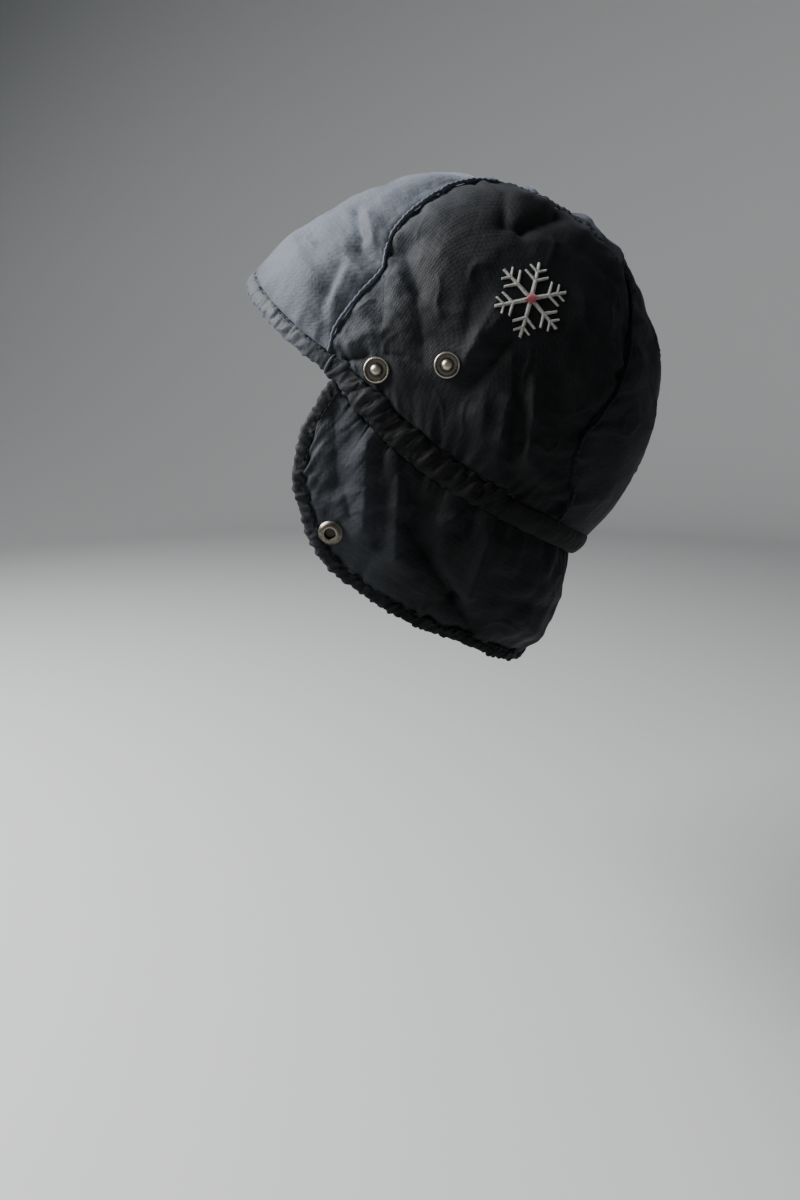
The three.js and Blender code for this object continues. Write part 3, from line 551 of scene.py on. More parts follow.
def centre_panel(rows=400, columns=100, crowding=0.4, apart=500):
    """Wall of cloth whose rows run across the head from seam to seam, and whose columns crowd
    towards the seams. At the forehead the middle of each row is lifted, and at the nape the
    rows bend to the band's upper edge. The two seams pucker as if they lay apart."""
    along, across = np.meshgrid(np.linspace(0, 1, rows), np.linspace(-1, 1, columns),
                                indexing="ij")
    across = (1 - crowding) * across + crowding * np.sin(across * np.pi / 2)
    over = seam_start + (seam_end - seam_start) * along
    out = look_up(SEAM, "over", "out", over)
    lift = FOREHEAD["lift"] * np.clip(1 - along / FOREHEAD["reach"], 0, 1) ** 2
    way = over_direction(over + lift * (1 - np.abs(across) ** FOREHEAD["curve"]), across * out)
    nape = panel_edge(180 - NAPE["half"] * across) - over_direction(seam_end, across * SEAM[-1]["out"])
    way = unit(way + nape * ease(along, *NAPE["bend"])[..., None])
    normal, point = crown_normal(way), crown_point(way)
    from_seam = (1 - np.abs(across)) * np.radians(out) * MEAN_RADIUS
    fade = np.clip(np.minimum(np.minimum(along, 1 - along) * CENTRE_RELIEF["fade_ends"],
                              (1 - np.abs(across)) * CENTRE_RELIEF["fade_sides"]), 0, 1)
    relief = fade * (CENTRE_RELIEF["folds"] * fold_height(CENTRE_FOLDS, point) + crumple(point, 83)
                     + CENTRE_RELIEF["settled"] * settled(point, normal, 83, CENTRE_RELIEF["shape"]))
    from_rim = lengths(point, 0)
    run = from_rim + np.where(across < 0, 0, apart)
    relief += seam_relief(from_seam, along, run, CENTRE_GROOVE, 97)
    line = lengths(point, 1)[:1]
    short = puckers(line, from_rim, 91, height=0.7, length=4.6, reach=5, lean=0.15)
    broad = puckers(line, from_rim, 92, height=0.6, length=9, reach=5, lean=0.15)
    relief += (short + broad) * np.clip(from_rim / RIM_GROOVE["lip"], 0, 1)
    relief -= RIM_GROOVE["depth"] * np.exp(-(from_rim / RIM_GROOVE["width"]) ** 2)
    outer, inner = both_faces(point, normal, relief)
    # Painted shade: darker towards the nape, at the sides and along the front edge.
    sides = CENTRE_PAINTED_SHADE["sides"] * ease(np.abs(across), *CENTRE_PAINTED_SHADE["side_ends"])
    front = CENTRE_PAINTED_SHADE["rim"] * ease(-from_rim, *CENTRE_PAINTED_SHADE["rim_ends"])
    painted_shade = np.maximum(np.maximum(ease(along, *CENTRE_PAINTED_SHADE["top_ends"]), sides), front)
    piece = cloth_wall("centre_panel_cloth", outer, inner, centre_cotton, painted_shade)
    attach(piece, "root")
    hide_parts("centre_panel")


# Painted light: the centre panel's cotton is drawn lighter than the side panels' cotton of the same
# cloth, for its upward face that catches the light.
centre_cotton = cotton("centre_cotton", (0.055, 0.063, 0.077), (0.083, 0.094, 0.114), 0.22)
centre_panel()


# SEAM WELTS
# Along each long seam the edge of the centre panel is folded under and topstitched, which
# leaves a narrow raised cord of cloth with a groove on both sides. The thread pulls it into
# a slight wave at every stitch.
WELT = dict(inwards=0.75, width=1.5, thickness=1.9, sink=-1.4, sink_length=25, waver=0.25,
            swell=0.14, uneven=0.12, ends=(0.2, 0.3))
WELT_STITCH = dict(pitch=3.4, length=2.5, radius=0.17, aside=0.85, sink=0.1, rise=0.12)


def crown_line(way_at, places, step, shift):
    """A line on the crown, moved over the cloth by a shift in millimetres: its points, the
    way out of the cloth there and the way down across the line."""
    way = way_at(places)
    normal = crown_normal(way)
    along = crown_point(way_at(places + step)) - crown_point(way_at(places - step))
    along = unit(along - normal * dot(along, normal))
    down = unit(np.cross(along, normal))
    down = np.where(down[..., 2:] > 0, -down, down)
    moved = unit(crown_point(way) + down * np.reshape(shift, (-1, 1)) - CENTRE)
    return crown_point(moved), crown_normal(moved), down


def tube_corners(count, sides):
    """Ring and side of the four corners of each quad of a tube. The side isn't wrapped round,
    so that a map can run on over the last one."""
    ring, side = np.divmod(np.arange((count - 1) * sides), sides)
    return (np.stack([ring, ring, ring + 1, ring + 1], -1),
            np.stack([side, side + 1, side + 1, side], -1))


def cloth_roll(name, rings, material, painted_shade):
    """Closed roll of cloth from rings of points: quads from ring to ring and a flat cap on
    each end, with one value of painted shade for each ring. Its UV map runs in millimetres
    along the roll and round it."""
    count, sides = rings.shape[:2]
    ring, side = tube_corners(count, sides)
    quads = ring * sides + side % sides
    run = lengths(rings.mean(1), 0)
    girth = np.linalg.norm(rings[:, 0] - rings[:, 1], axis=-1).mean()
    spots = np.stack([run[ring], side * girth], -1)
    last = (count - 1) * sides
    caps = [list(range(sides))[::-1], list(range(last, last + sides))]
    ends = [rings[0, ::-1, 1:], rings[-1, :, 1:]]
    points = rings.reshape(-1, 3)
    piece = mesh_piece(name, points, quads.tolist() + caps, list(spots) + ends, material)
    # Painted shade for each ring, set on all the points of that ring.
    mark(piece, "painted_shade", np.repeat(painted_shade, sides))
    return piece


def oval_rings(middle, normal, down, width, thickness, sides, power=0.7):
    """Flattened ovals across a line: half the thickness times the cosine outwards, and half
    the width times the sine, raised to a power that squares it a little, downwards."""
    turn = np.linspace(0, 2 * np.pi, sides, endpoint=False)
    sine = np.sign(np.sin(turn)) * np.abs(np.sin(turn)) ** power
    outwards = np.reshape(thickness, (-1, 1, 1)) / 2 * np.cos(turn)[None, :, None]
    downwards = np.reshape(width, (-1, 1, 1)) / 2 * sine[None, :, None]
    return middle[:, None] + normal[:, None] * outwards + down[:, None] * downwards


def strokes(name, starts, ends, rises, radius, material, sides=6, bends=5, tip=0.35):
    """Threads laid on cloth, each from a start to an end: a tube whose line arches by the
    rise along its own normal, and whose radius narrows roundly to its tips."""
    t = np.linspace(0, 1, bends)
    line = starts[:, None] + (ends - starts)[:, None] * t[None, :, None]
    line = line + rises[:, None] * (4 * t * (1 - t))[None, :, None]
    along = unit(ends - starts)
    side_way = unit(np.cross(along, unit(rises)))
    up_way = np.cross(side_way, along)
    turn = np.linspace(0, 2 * np.pi, sides, endpoint=False)
    taper = radius * (tip + (1 - tip) * np.sqrt(np.clip(1 - (2 * t - 1) ** 4, 0, 1)))
    ring = (side_way[:, None] * np.cos(turn)[None, :, None]
            + up_way[:, None] * np.sin(turn)[None, :, None])
    points = line[:, :, None] + ring[:, None] * taper[None, :, None, None]
    base = np.arange(len(starts))[:, None] * bends * sides
    bend, side = tube_corners(bends, sides)
    quads = base[:, None] + bend * sides + side % sides
    first = base + np.arange(sides)[::-1]
    last = base + (bends - 1) * sides + np.arange(sides)
    faces = quads.reshape(-1, 4).tolist() + first.tolist() + last.tolist()
    uv = [np.zeros((len(face), 2)) for face in faces]
    return mesh_piece(name, points.reshape(-1, 3), faces, uv, material)


def seam_way(over):
    """Way to the middle of the welt by the angle over the head: the seam's own, a little
    towards the middle of the head."""
    return over_direction(over, look_up(SEAM, "over", "out", over) - WELT["inwards"])


def on_line(places, run, line):
    """Points of a line at places along its run in millimetres."""
    return np.stack([np.interp(places, run, line[:, axis]) for axis in range(3)], -1)


def seam_welt(side, sign):
    """Flattened tube along the seam, whose width and height swell between the stitches, and
    a row of stitches in the groove on its inner side."""
    mirror = np.array((sign, 1, 1))
    over = np.linspace(seam_start + WELT["ends"][0], seam_end - WELT["ends"][1], 900)
    point, normal = crown_point(seam_way(over)), crown_normal(seam_way(over))
    down = np.cross(unit(np.gradient(point, axis=0)), normal)
    run = lengths(point, 0)
    pitch, length = WELT_STITCH["pitch"], WELT_STITCH["length"]
    swell = WELT["swell"] * np.sin(2 * np.pi * run / pitch) + WELT["uneven"] * ripple(run, 0, 7, 301)
    sink = WELT["sink"] * np.clip(np.minimum(run, run[-1] - run) / WELT["sink_length"], 0, 1)
    middle = point + normal * (sink + swell)[:, None]
    middle += down * (WELT["waver"] * ripple(run, 0, 16, 302))[:, None]
    rings = oval_rings(middle, normal, down, WELT["width"] + swell, WELT["thickness"] + swell,
                       sides=14, power=1.0)
    # Painted shade, darker towards the nape as on the centre panel.
    painted_shade = ease((over - seam_start) / (seam_end - seam_start), *CENTRE_PAINTED_SHADE["top_ends"])
    piece = cloth_roll("seam_welt_" + side, rings * mirror, centre_cotton, painted_shade)
    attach(piece, "root")
    spots = np.arange(1.5, run[-1] - 3, pitch)
    outwards = on_line(spots, run, normal)
    begin, finish = (on_line(spots + shift, run, middle - down * WELT_STITCH["aside"])
                     - outwards * WELT_STITCH["sink"] for shift in (0, length))
    piece = strokes("seam_stitches_" + side, begin * mirror, finish * mirror,
                    outwards * WELT_STITCH["rise"] * mirror, WELT_STITCH["radius"], thread)
    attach(piece, "root")


thread = cotton("thread", (0.01, 0.011, 0.013), (0.016, 0.0175, 0.02), 0.05, thread=0.2)
seam_welt("left", 1)
seam_welt("right", -1)


# EMBROIDERY
# A plain six-armed snowflake in grey thread with a small red lozenge on it, sewn by machine
# in satin stitch: threads laid side by side across each bar, over a bare stiff patch of cloth.
ARM = dict(count=6, turned=12, start=2.5, length=18.0, width=2.2, tip=0.7)
BARBS = [dict(place=9.0, length=6.5, width=1.7), dict(place=13.5, length=4.5, width=1.5)]
LOZENGE = dict(length=7.5, width=6.0)
BARB_LEAN = 58
LIFT = dict(flake=0.1, lozenge=0.75)
SATIN = dict(pitch=0.46, slant=0.25, radius=0.27, rise=0.5)
BELL = dict(reach=32, width=1.2)


def satin(starts, ends, widths, tips):
    """Ends of the threads that fill bars: along each bar the threads lie a pitch apart, each
    from one edge to the other with a slant, and the width changes from full to the tip's
    share of it at the far end. A bar whose tip is nil is a lozenge, widest in the middle."""
    lefts, rights = [], []
    for start, end, width, tip in zip(starts, ends, widths, tips):
        length = np.linalg.norm(end - start)
        t = np.linspace(0, 1, int(length / SATIN["pitch"]))[:, None]
        along = (end - start) / length
        across = np.array((-along[1], along[0]))
        half = width / 2 * (1 + (tip - 1) * np.abs(2 * t - 1 if tip == 0 else t))
        middle = start + (end - start) * t
        lefts.append(middle - across * half - along * SATIN["slant"])
        rights.append(middle + across * half + along * SATIN["slant"])
    return np.concatenate(lefts), np.concatenate(rights)


def on_cloth(spots, lift):
    """Places on the left panel of spots on a flat drawing, and the way out of it: the height
    of the cloth there is the bell-weighted mean of that of the points of its grid nearby."""
    way = unit(FLAKE["place"] - CENTRE)[None]
    base, outwards = crown_point(way)[0], crown_normal(way)[0]
    right = unit(np.cross((0, 0, 1.0), outwards))
    up = np.cross(outwards, right)
    cloth = left_cloth.reshape(-1, 3) - base
    cloth = cloth[np.linalg.norm(cloth, axis=-1) < BELL["reach"]]
    flat, height = cloth @ np.stack([right, up], -1), cloth @ outwards
    gap = ((spots[:, None] - flat[None]) ** 2).sum(-1)
    weight = np.exp(-gap / BELL["width"] ** 2) + 1e-9
    level = (weight * height).sum(-1) / weight.sum(-1) + lift
    return base + spots @ np.stack([right, up]) + level[:, None] * outwards, outwards


def embroider(name, bars, colour, lift):
    """Threads of one colour, laid on the cloth with a slight arch."""
    lefts, rights = satin(*bars)
    start, outwards = on_cloth(lefts, lift)
    end, _ = on_cloth(rights, lift)
    rises = np.tile(outwards * SATIN["rise"], (len(start), 1))
    piece = strokes(name, start, end, rises, SATIN["radius"], colour, bends=7)
    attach(piece, "root")


def yarn(name, colour):
    """Shiny embroidery thread: one colour with fine darker clouds, and a satin gloss."""
    material, tree, shader = new_material(name)
    place = tree.nodes.new("ShaderNodeTexCoord").outputs
    clouds = texture(tree, "ShaderNodeTexNoise", place["Object"], Scale=900.0, Detail=3.0)
    tree.links.new(ramp(tree, clouds, 0.6 * np.array(colour), colour, start=0.35, end=0.6),
                   shader.inputs["Base Color"])
    shader.inputs["Roughness"].default_value = 0.5
    shader.inputs["Sheen Weight"].default_value = 0.4
    return material


angles = np.radians(np.arange(ARM["count"]) * 360 / ARM["count"] + ARM["turned"])
arms = np.stack([np.cos(angles), np.sin(angles)], -1)
bar_starts, bar_ends = [*(arms * ARM["start"])], [*(arms * ARM["length"])]
bar_widths = [ARM["width"]] * ARM["count"]
for barb in BARBS:
    for lean in (-BARB_LEAN, BARB_LEAN):
        turned = angles + np.radians(lean)
        foot = arms * barb["place"]
        bar_starts += [*foot]
        bar_ends += [*(foot + barb["length"] * np.stack([np.cos(turned), np.sin(turned)], -1))]
        bar_widths += [barb["width"]] * ARM["count"]
embroider("embroidered_flake", (bar_starts, bar_ends, bar_widths, [ARM["tip"]] * len(bar_starts)),
          yarn("grey_thread", (0.33, 0.33, 0.31)), LIFT["flake"])
tip = arms[0] * LOZENGE["length"] / 2
embroider("embroidered_lozenge", ([-tip], [tip], [LOZENGE["width"]], [0]),
          yarn("red_thread", (0.36, 0.075, 0.085)), LIFT["lozenge"])


# FRONT RIM
# A narrow casing of the same cotton along the forehead, turned under and stitched down, with
# an elastic tape in it that draws it into small slanting gathers.
RIM = dict(reach=1.03, width=8.2, thickness=4.6, proud=0.6, gap=0.3, shade_ends=(0.75, 1.1),
           stitch_inset=0.9, stitch_sink=0.95)
GATHER = dict(slant=2.2, radius=2.3, lumps=0.5, crease=0.75, crease_width=0.25, grain=0.25,
              grain_length=2.8)
STITCH = dict(radius=0.26, rise=0.3, uneven=0.15, seed=5)


def gather(rings, middle, pitch, height, seed):
    """Moves the rings of a roll in and out: rounded lumps of the given pitch, parted by thin
    creases where a random height that runs along the roll and slants across it is nil."""
    run = lengths(middle, 0)[:, None]
    outwards = unit(rings - middle[:, None])
    turn = np.linspace(0, 2 * np.pi, rings.shape[1], endpoint=False)[None]
    line = np.stack([run + GATHER["slant"] * np.sin(turn), GATHER["radius"] * np.cos(turn) + 0 * run,
                     GATHER["radius"] * np.sin(turn) + 0 * run], -1)
    lumps = wander(line, 1.5 * pitch, seed)
    bump = (GATHER["lumps"] * lumps
            - GATHER["crease"] * np.exp(-(lumps / GATHER["crease_width"]) ** 2)
            + GATHER["grain"] * wander(line, GATHER["grain_length"], seed + 1))
    return rings + outwards * (height * bump)[..., None]


def row_of_stitches(name, points, normal, pitch, length):
    """Straight stitches along a line on the cloth, a pitch apart, sunk a little at both
    ends, with their height along the way out of the cloth there."""
    run = lengths(points, 0)
    spots = np.arange(pitch, run[-1] - pitch, pitch)
    source = np.random.default_rng(STITCH["seed"])
    spots = spots + source.uniform(-STITCH["uneven"], STITCH["uneven"], len(spots)) * pitch
    rises = on_line(spots, run, normal) * STITCH["rise"]
    piece = strokes(name, on_line(spots, run, points), on_line(spots + length, run, points), rises,
                    STITCH["radius"], thread)
    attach(piece, "root")


def rim_way(side):
    """Way to the centre panel's front edge, from one seam at -1 to the other at 1."""
    lift = FOREHEAD["lift"] * (1 - np.abs(side) ** FOREHEAD["curve"])
    return over_direction(seam_start + lift, side * SEAM[0]["out"])


def front_rim():
    """Gathered roll just below the centre panel's front edge, and the stitches above it."""
    side = np.linspace(-RIM["reach"], RIM["reach"], 320)
    shift = RIM["width"] / 2 + RIM["gap"]
    point, normal, down = crown_line(rim_way, side, step=0.01, shift=shift)
    middle = point + normal * (RIM["proud"] - RIM["thickness"] / 2)
    rings = oval_rings(middle, normal, down, RIM["width"], RIM["thickness"], sides=30)
    rings = gather(rings, middle, pitch=3.8, height=0.6, seed=211)
    # Painted shade: darker towards both ends, by the temples.
    painted_shade = ease(np.abs(side), *RIM["shade_ends"])
    piece = cloth_roll("front_rim_cloth", rings, rim_cotton, painted_shade)
    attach(piece, "root")
    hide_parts("front_rim")
    line = (point - down * (RIM["width"] / 2 - RIM["stitch_inset"])
            + normal * (RIM["proud"] - RIM["stitch_sink"]))
    row_of_stitches("rim_stitches", line, normal, pitch=3.2, length=2.3)


rim_cotton = cotton("rim_cotton", (0.034, 0.038, 0.045), (0.052, 0.058, 0.068), 0.18)
front_rim()


# BAND
# A padded band between the panels and the flap. From the temples to behind the ears it holds
# an elastic and is drawn into gathers; round the nape it is a smooth full roll. The two
# kinds meet in a fine upright joint on each side.
BAND = dict(thickness=6.0, proud=2.5, overlap=0.9, full=(50, 66), waver=0.4, swell=0.5,
            shade_ends=(-62, -32))
BAND_ENDS = dict(temple=51.0, joint=110, nape=110.2)
CORD = dict(width=1.5, thickness=1.6, proud=0.3, over=1.75, squareness=0.8, points=60, painted_shade=0.2)
BAND_WIDTH = table("round width", (
    (40, 7.5), (52, 8.4), (62, 12.5), (75, 14), (90, 13.5), (110, 12.3), (180, 12.3), (250, 12.3)))


def band_width(turn):
    """Width of the band at an angle round the head."""
    return look_up(BAND_WIDTH, "round", "width", np.minimum(turn, 360 - turn))


def band_line(start, end, count):
    """Middle line of the band between two angles, with its ways out and down and its width."""
    turn = np.linspace(start, end, count)
    width = band_width(turn)
    return *crown_line(panel_edge, turn, step=0.5, shift=width / 2 + RIM["gap"]), width


def band(name, start, end, pitch, height, seed, sign=1, count=420):
    """Roll of the band's own width from one angle to another, gathered by the given height,
    whose middle line and width waver a little. At the temples it thins to the rim's size."""
    turn = np.linspace(start, end, count)
    point, normal, down, width = band_line(start, end, count)
    full = ease(np.minimum(turn, 360 - turn), *BAND["full"])
    thickness = RIM["thickness"] + (BAND["thickness"] - RIM["thickness"]) * full
    proud = RIM["proud"] + (BAND["proud"] - RIM["proud"]) * full
    run = lengths(point, 0)
    middle = point + normal * (proud - thickness / 2)[:, None]
    middle += down * (height * BAND["waver"] * ripple(run, 0, 10, seed + 5))[:, None]
    width = width + BAND["overlap"] + height * BAND["swell"] * ripple(run, 0, 8, seed + 6)
    rings = oval_rings(middle, normal, down, width, thickness, sides=40, power=0.8)
    rings = gather(rings, middle, pitch, height, seed) * (sign, 1, 1)
    # Painted shade: darker from the temples towards the back.
    piece = cloth_roll(name + "_cloth", rings, band_cotton, ease(point[:, 1], *BAND["shade_ends"]))
    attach(piece, "root")
    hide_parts(name)


def joint_cord(side, sign):
    """Cord of the long seam where it runs on over the joint of the rim and the band, from
    the band's upper edge round its face to the lower edge: part of a squared oval."""
    temple, count = BAND_ENDS["temple"], CORD["points"]
    point, normal, down, width = (part[0] for part in band_line(temple - 0.1, temple + 0.1, 2))
    turn = np.linspace(-CORD["over"], CORD["over"], count)[:, None]
    outwards = normal * np.cos(turn) + down * np.sin(turn)
    middle = point + normal * (RIM["proud"] - RIM["thickness"] / 2)
    middle = middle + normal * np.cos(turn) * (RIM["thickness"] / 2 + CORD["proud"])
    squared = np.sign(turn) * np.abs(np.sin(turn)) ** CORD["squareness"]
    middle += down * squared * (width / 2 + CORD["proud"])
    beside = unit(np.cross(np.gradient(middle, axis=0), outwards))
    rings = oval_rings(middle, outwards, beside, np.full(count, CORD["width"]),
                       np.full(count, CORD["thickness"]), sides=12, power=1.0)
    # A little painted shade all along the cord.
    piece = cloth_roll("joint_cord_" + side, rings * (sign, 1, 1), rim_cotton,
                       np.full(count, CORD["painted_shade"]))
    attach(piece, "root")


band_cotton = cotton("band_cotton", (0.013, 0.0145, 0.0175), (0.021, 0.0235, 0.028), 0.06)
for side, sign, seed in (("left", 1, 401), ("right", -1, 431)):
    band("band_" + side, BAND_ENDS["temple"], BAND_ENDS["joint"], pitch=3.5, height=0.85,
         seed=seed, sign=sign)
band("band_nape", BAND_ENDS["nape"], 360 - BAND_ENDS["nape"], pitch=12, height=0.3, seed=461)
joint_cord("left", 1)
joint_cord("right", -1)


# FLAP
# One deep piece over both ears and the neck, of the same padded cotton in a slightly
# shinier weave. It is gathered a little into the band and hangs from it in soft folds.
HEM = dict(width=7.5, thickness=4.4, proud=0.7, overlap=0.9, first_rib=0.25, first_way=0.16,
           shade_ends=(-75, -20), stitch_inset=0.5, stitch_sink=0.7)
FLAP = dict(end=0.13, side_bow=3.0, back_bow=9.5, back=(0.6, 1), full_length=50.0, tuck=1.5,
            gap=1.2, fade=6, folds=1.5, crumple=0.7, settled=0.8, shape=(150, 36),
            shade_ends=(-52, -15), painted_shade=0.95)
PLEATS = dict(height=0.9, length=11, lean=0.12, crease_width=0.25, reach=12)
HEM_GROOVE = dict(depth=1.0, width=3)
FLAP_RIBS = table("round x y z", (
    (52, 73.6, -62.4, -98.8), (54, 74.8, -70.5, -110.5), (56.5, 75.2, -77.5, -122.5),
    (59, 75.6, -81.5, -136), (62, 76.5, -82.5, -149), (65.5, 77, -80, -161),
    (69, 77, -76, -175.5), (73, 75.3, -68.5, -189.5), (78, 72, -57.5, -200.5),
    (85, 68.5, -44.5, -211), (94, 63.5, -29, -222), (105, 58.5, -13, -231),
    (118, 52, 2.5, -238), (134, 43, 17.5, -247.5), (153, 27, 32.5, -256),
    (180, 0, 43.5, -259.5), (207, -27, 32.5, -256)))
FLAP_FOLDS = table(FOLD, (
    (-61, -114, -60, -150, 4.5, -1.3), (-57, -150, -54, -164, 3, -0.9),
    (-45, -114, -48, -172, 6.5, 2.3), (-38.5, -124, -41, -178, 3, -1.7),
    (-31, -138, -32, -186, 4.5, 2.1), (-24, -146, -25, -182, 4, -1.2),
    (-26, -170, -2, -210, 3.8, -2.8), (-2, -210, 8, -230, 3.5, -2.5),
    (17, -166, 5, -208, 4.5, 2.6), (-8, -168, 6, -162, 3.5, 1.6),
    (30, -212, 50, -222, 6, -1.4), (36, -226, 46, -238, 6, 1.2)))
SOCKET = dict(rib=0.43, down=0.88)


def flap_rib(place):
    """Where each rib of the flap leaves the band, the way out of the crown there, and its
    end at the hem; place 0 is the left temple, 1 the middle of the back and 2 the right."""
    near = (len(FLAP_RIBS) - 2) * np.minimum(place, 2 - place)
    turn, x, y, z = (look_up(FLAP_RIBS, None, column, near) for column in ("round", "x", "y", "z"))
    shift = band_width(turn) + FLAP["gap"]
    top, normal, _ = crown_line(panel_edge, turn, step=0.5, shift=shift)
    hand = np.stack([np.where(place > 1, -1, 1), np.ones_like(near), np.ones_like(near)], -1)
    return top * hand, normal * hand, np.stack([x, y, z], -1) * hand


def inside_hem(place, distance, step=0.004):
    """Line that runs inside the hem at a distance from it, square to it. Near the temples,
    where the ribs are short, the way inwards is that of the first steady rib."""
    hem = flap_rib(place)[2]
    along = unit(flap_rib(place + step)[2] - flap_rib(place - step)[2])
    inwards = flap_rib(np.clip(place, HEM["first_rib"], 2 - HEM["first_rib"]))[0] - hem
    inwards = unit(inwards - along * dot(inwards, along))
    return hem + inwards * np.reshape(distance, (-1, 1))


def flap_point(place, down):
    """Grid of points of the smooth flap: straight ribs from the band to the hem, bowed
    outwards in a parabola, more at the back, and tucked in under the band at the top."""
    top, normal, hem = flap_rib(place)
    end = inside_hem(place, HEM["width"] - HEM["overlap"])
    back = ease(np.minimum(place, 2 - place), *FLAP["back"])
    bow = FLAP["side_bow"] + (FLAP["back_bow"] - FLAP["side_bow"]) * back
    bow = bow * np.minimum(1, np.linalg.norm(top - hem, axis=-1) / FLAP["full_length"])
    rise = bow[:, None] * 4 * down * (1 - down) - FLAP["tuck"] * (1 - down)
    return top[:, None] + (end - top)[:, None] * down[:, None] + normal[:, None] * rise[..., None]


def flap_normal(place, down, step=0.01):
    """Way out of the smooth flap, from two short steps over it."""
    across = flap_point(place + step, down) - flap_point(place - step, down)
    along = flap_point(place, down + step) - flap_point(place, down - step)
    return unit(np.cross(along, across))


def even_places(start, end, count, samples=800):
    """Places along the flap that are evenly spaced in millimetres along its hem."""
    place = np.linspace(start, end, samples)
    run = lengths(flap_rib(place)[2], 0)
    return np.interp(np.linspace(0, run[-1], count), run, place)


def flap(count=480, rows=84, seed=503):
    """Wall of cloth over the flap's grid, with its folds, wrinkles, pleats that run down from
    the band, and puckers above the hem. The cloth lies flat round the two sockets."""
    place = even_places(FLAP["end"], 2 - FLAP["end"], count)
    down = np.linspace(0, 1, rows)
    point, normal = flap_point(place, down), flap_normal(place, down)
    fade = np.clip(np.minimum(down, 1 - down) * FLAP["fade"], 0, 1)
    wrinkles = (FLAP["crumple"] * crumple(point, seed)
                + FLAP["settled"] * settled(point, normal, seed, FLAP["shape"]))
    relief = fade * clear_of(point, flap_point(*socket_spot)[0]) * (
        FLAP["folds"] * fold_height(FLAP_FOLDS, point) + wrinkles)
    run, below = lengths(point, 0), lengths(point, 1)
    pleats = ripple(run[:, :1], PLEATS["lean"] * below, PLEATS["length"], 521)
    creases = np.exp(-(pleats / PLEATS["crease_width"]) ** 2)
    relief += (PLEATS["height"] * pleats - creases) * np.exp(-below / PLEATS["reach"])
    above = below[:, -1:] - below
    relief += puckers(run[:, -1:], above, 531, height=0.9, length=9, reach=7, lean=0.1)
    relief -= HEM_GROOVE["depth"] * np.exp(-(above / HEM_GROOVE["width"]) ** 2)
    outer, inner = both_faces(point, normal, relief)
    # Painted shade: darker towards the back.
    painted_shade = FLAP["painted_shade"] * ease(point[..., 1], *FLAP["shade_ends"])
    piece = cloth_wall("flap_cloth", outer, inner, flap_cotton, painted_shade)
    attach(piece, "root")
    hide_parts("flap")


socket_spot = np.array([SOCKET["rib"]]), np.array([SOCKET["down"]])
flap_cotton = cotton("flap_cotton", (0.018, 0.0205, 0.0245), (0.028, 0.0315, 0.037), 0.1)
flap()


# FLAP HEM
# The flap's free edge is a casing with an elastic in it, stitched down inside, which draws
# the edge into fine gathers.
def flap_hem():
    """Gathered roll along the flap's free edge, and the row of stitches inside it."""
    place = even_places(0, 2, 760)
    point = inside_hem(place, HEM["width"] / 2)
    down = unit(inside_hem(place, 0) - point)
    steady = np.clip(place, HEM["first_way"], 2 - HEM["first_way"])
    normal = flap_normal(steady, np.array([1.0]))[:, 0]
    middle = point + normal * (HEM["proud"] - HEM["thickness"] / 2)
    rings = oval_rings(middle, normal, down, HEM["width"], HEM["thickness"], sides=30)
    rings = gather(rings, middle, pitch=3.3, height=0.75, seed=601)
    # Painted shade: darker towards the back.
    piece = cloth_roll("flap_hem_cloth", rings, hem_cotton, ease(point[:, 1], *HEM["shade_ends"]))
    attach(piece, "root")
    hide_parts("flap_hem")
    line = (middle - down * (HEM["width"] / 2 - HEM["stitch_inset"])
            + normal * (HEM["thickness"] / 2 - HEM["stitch_sink"]))
    row_of_stitches("hem_stitches", line, normal, pitch=3.4, length=2.4)


hem_cotton = cotton("hem_cotton", (0.01, 0.0115, 0.0135), (0.016, 0.0175, 0.021), 0.07)
flap_hem()


# SNAPS
# Two studs on each side panel and a socket on each side of the flap: pressed brass with an
# antique nickel finish, bright where it is rubbed and dark in the hollows. The rings are
# plain. Each is riveted through the cloth, with its axis square to it.
STUD = table("radius height dark", (
    (0.02, 3.7, 0), (0.9, 3.62, 0), (1.7, 3.25, 0), (2.3, 2.6, 0.05), (2.6, 1.9, 0.2),
    (2.62, 1.3, 0.6), (2.7, 0.85, 1), (3.1, 0.6, 0.8), (3.7, 0.55, 0.5), (4.3, 0.55, 0.45),
    (4.85, 0.65, 0.7), (5.1, 0.95, 0.5), (5.3, 1.3, 0.05), (5.6, 1.42, 0), (5.9, 1.25, 0),
    (6.1, 0.85, 0.1), (6.15, 0.5, 0.4), (6.05, 0.2, 0.8), (5.9, 0.02, 1), (4.0, 0, 1),
    (0.02, 0, 1)))
SOCKET_SHAPE = table("radius height dark", (
    (0.02, 0.3, 1), (1.6, 0.3, 1), (2.3, 0.35, 1), (2.6, 0.8, 1), (2.65, 1.5, 1),
    (2.8, 1.95, 0.75), (3.15, 2.2, 0.4), (3.7, 2.3, 0.6), (4.3, 2.15, 0.65), (4.9, 1.85, 0.7),
    (5.4, 1.45, 0.6), (5.85, 1.0, 0.35), (6.1, 0.65, 0.4), (6.15, 0.4, 0.7), (5.9, 0.02, 1),
    (4.0, 0, 1), (0.02, 0, 1)))


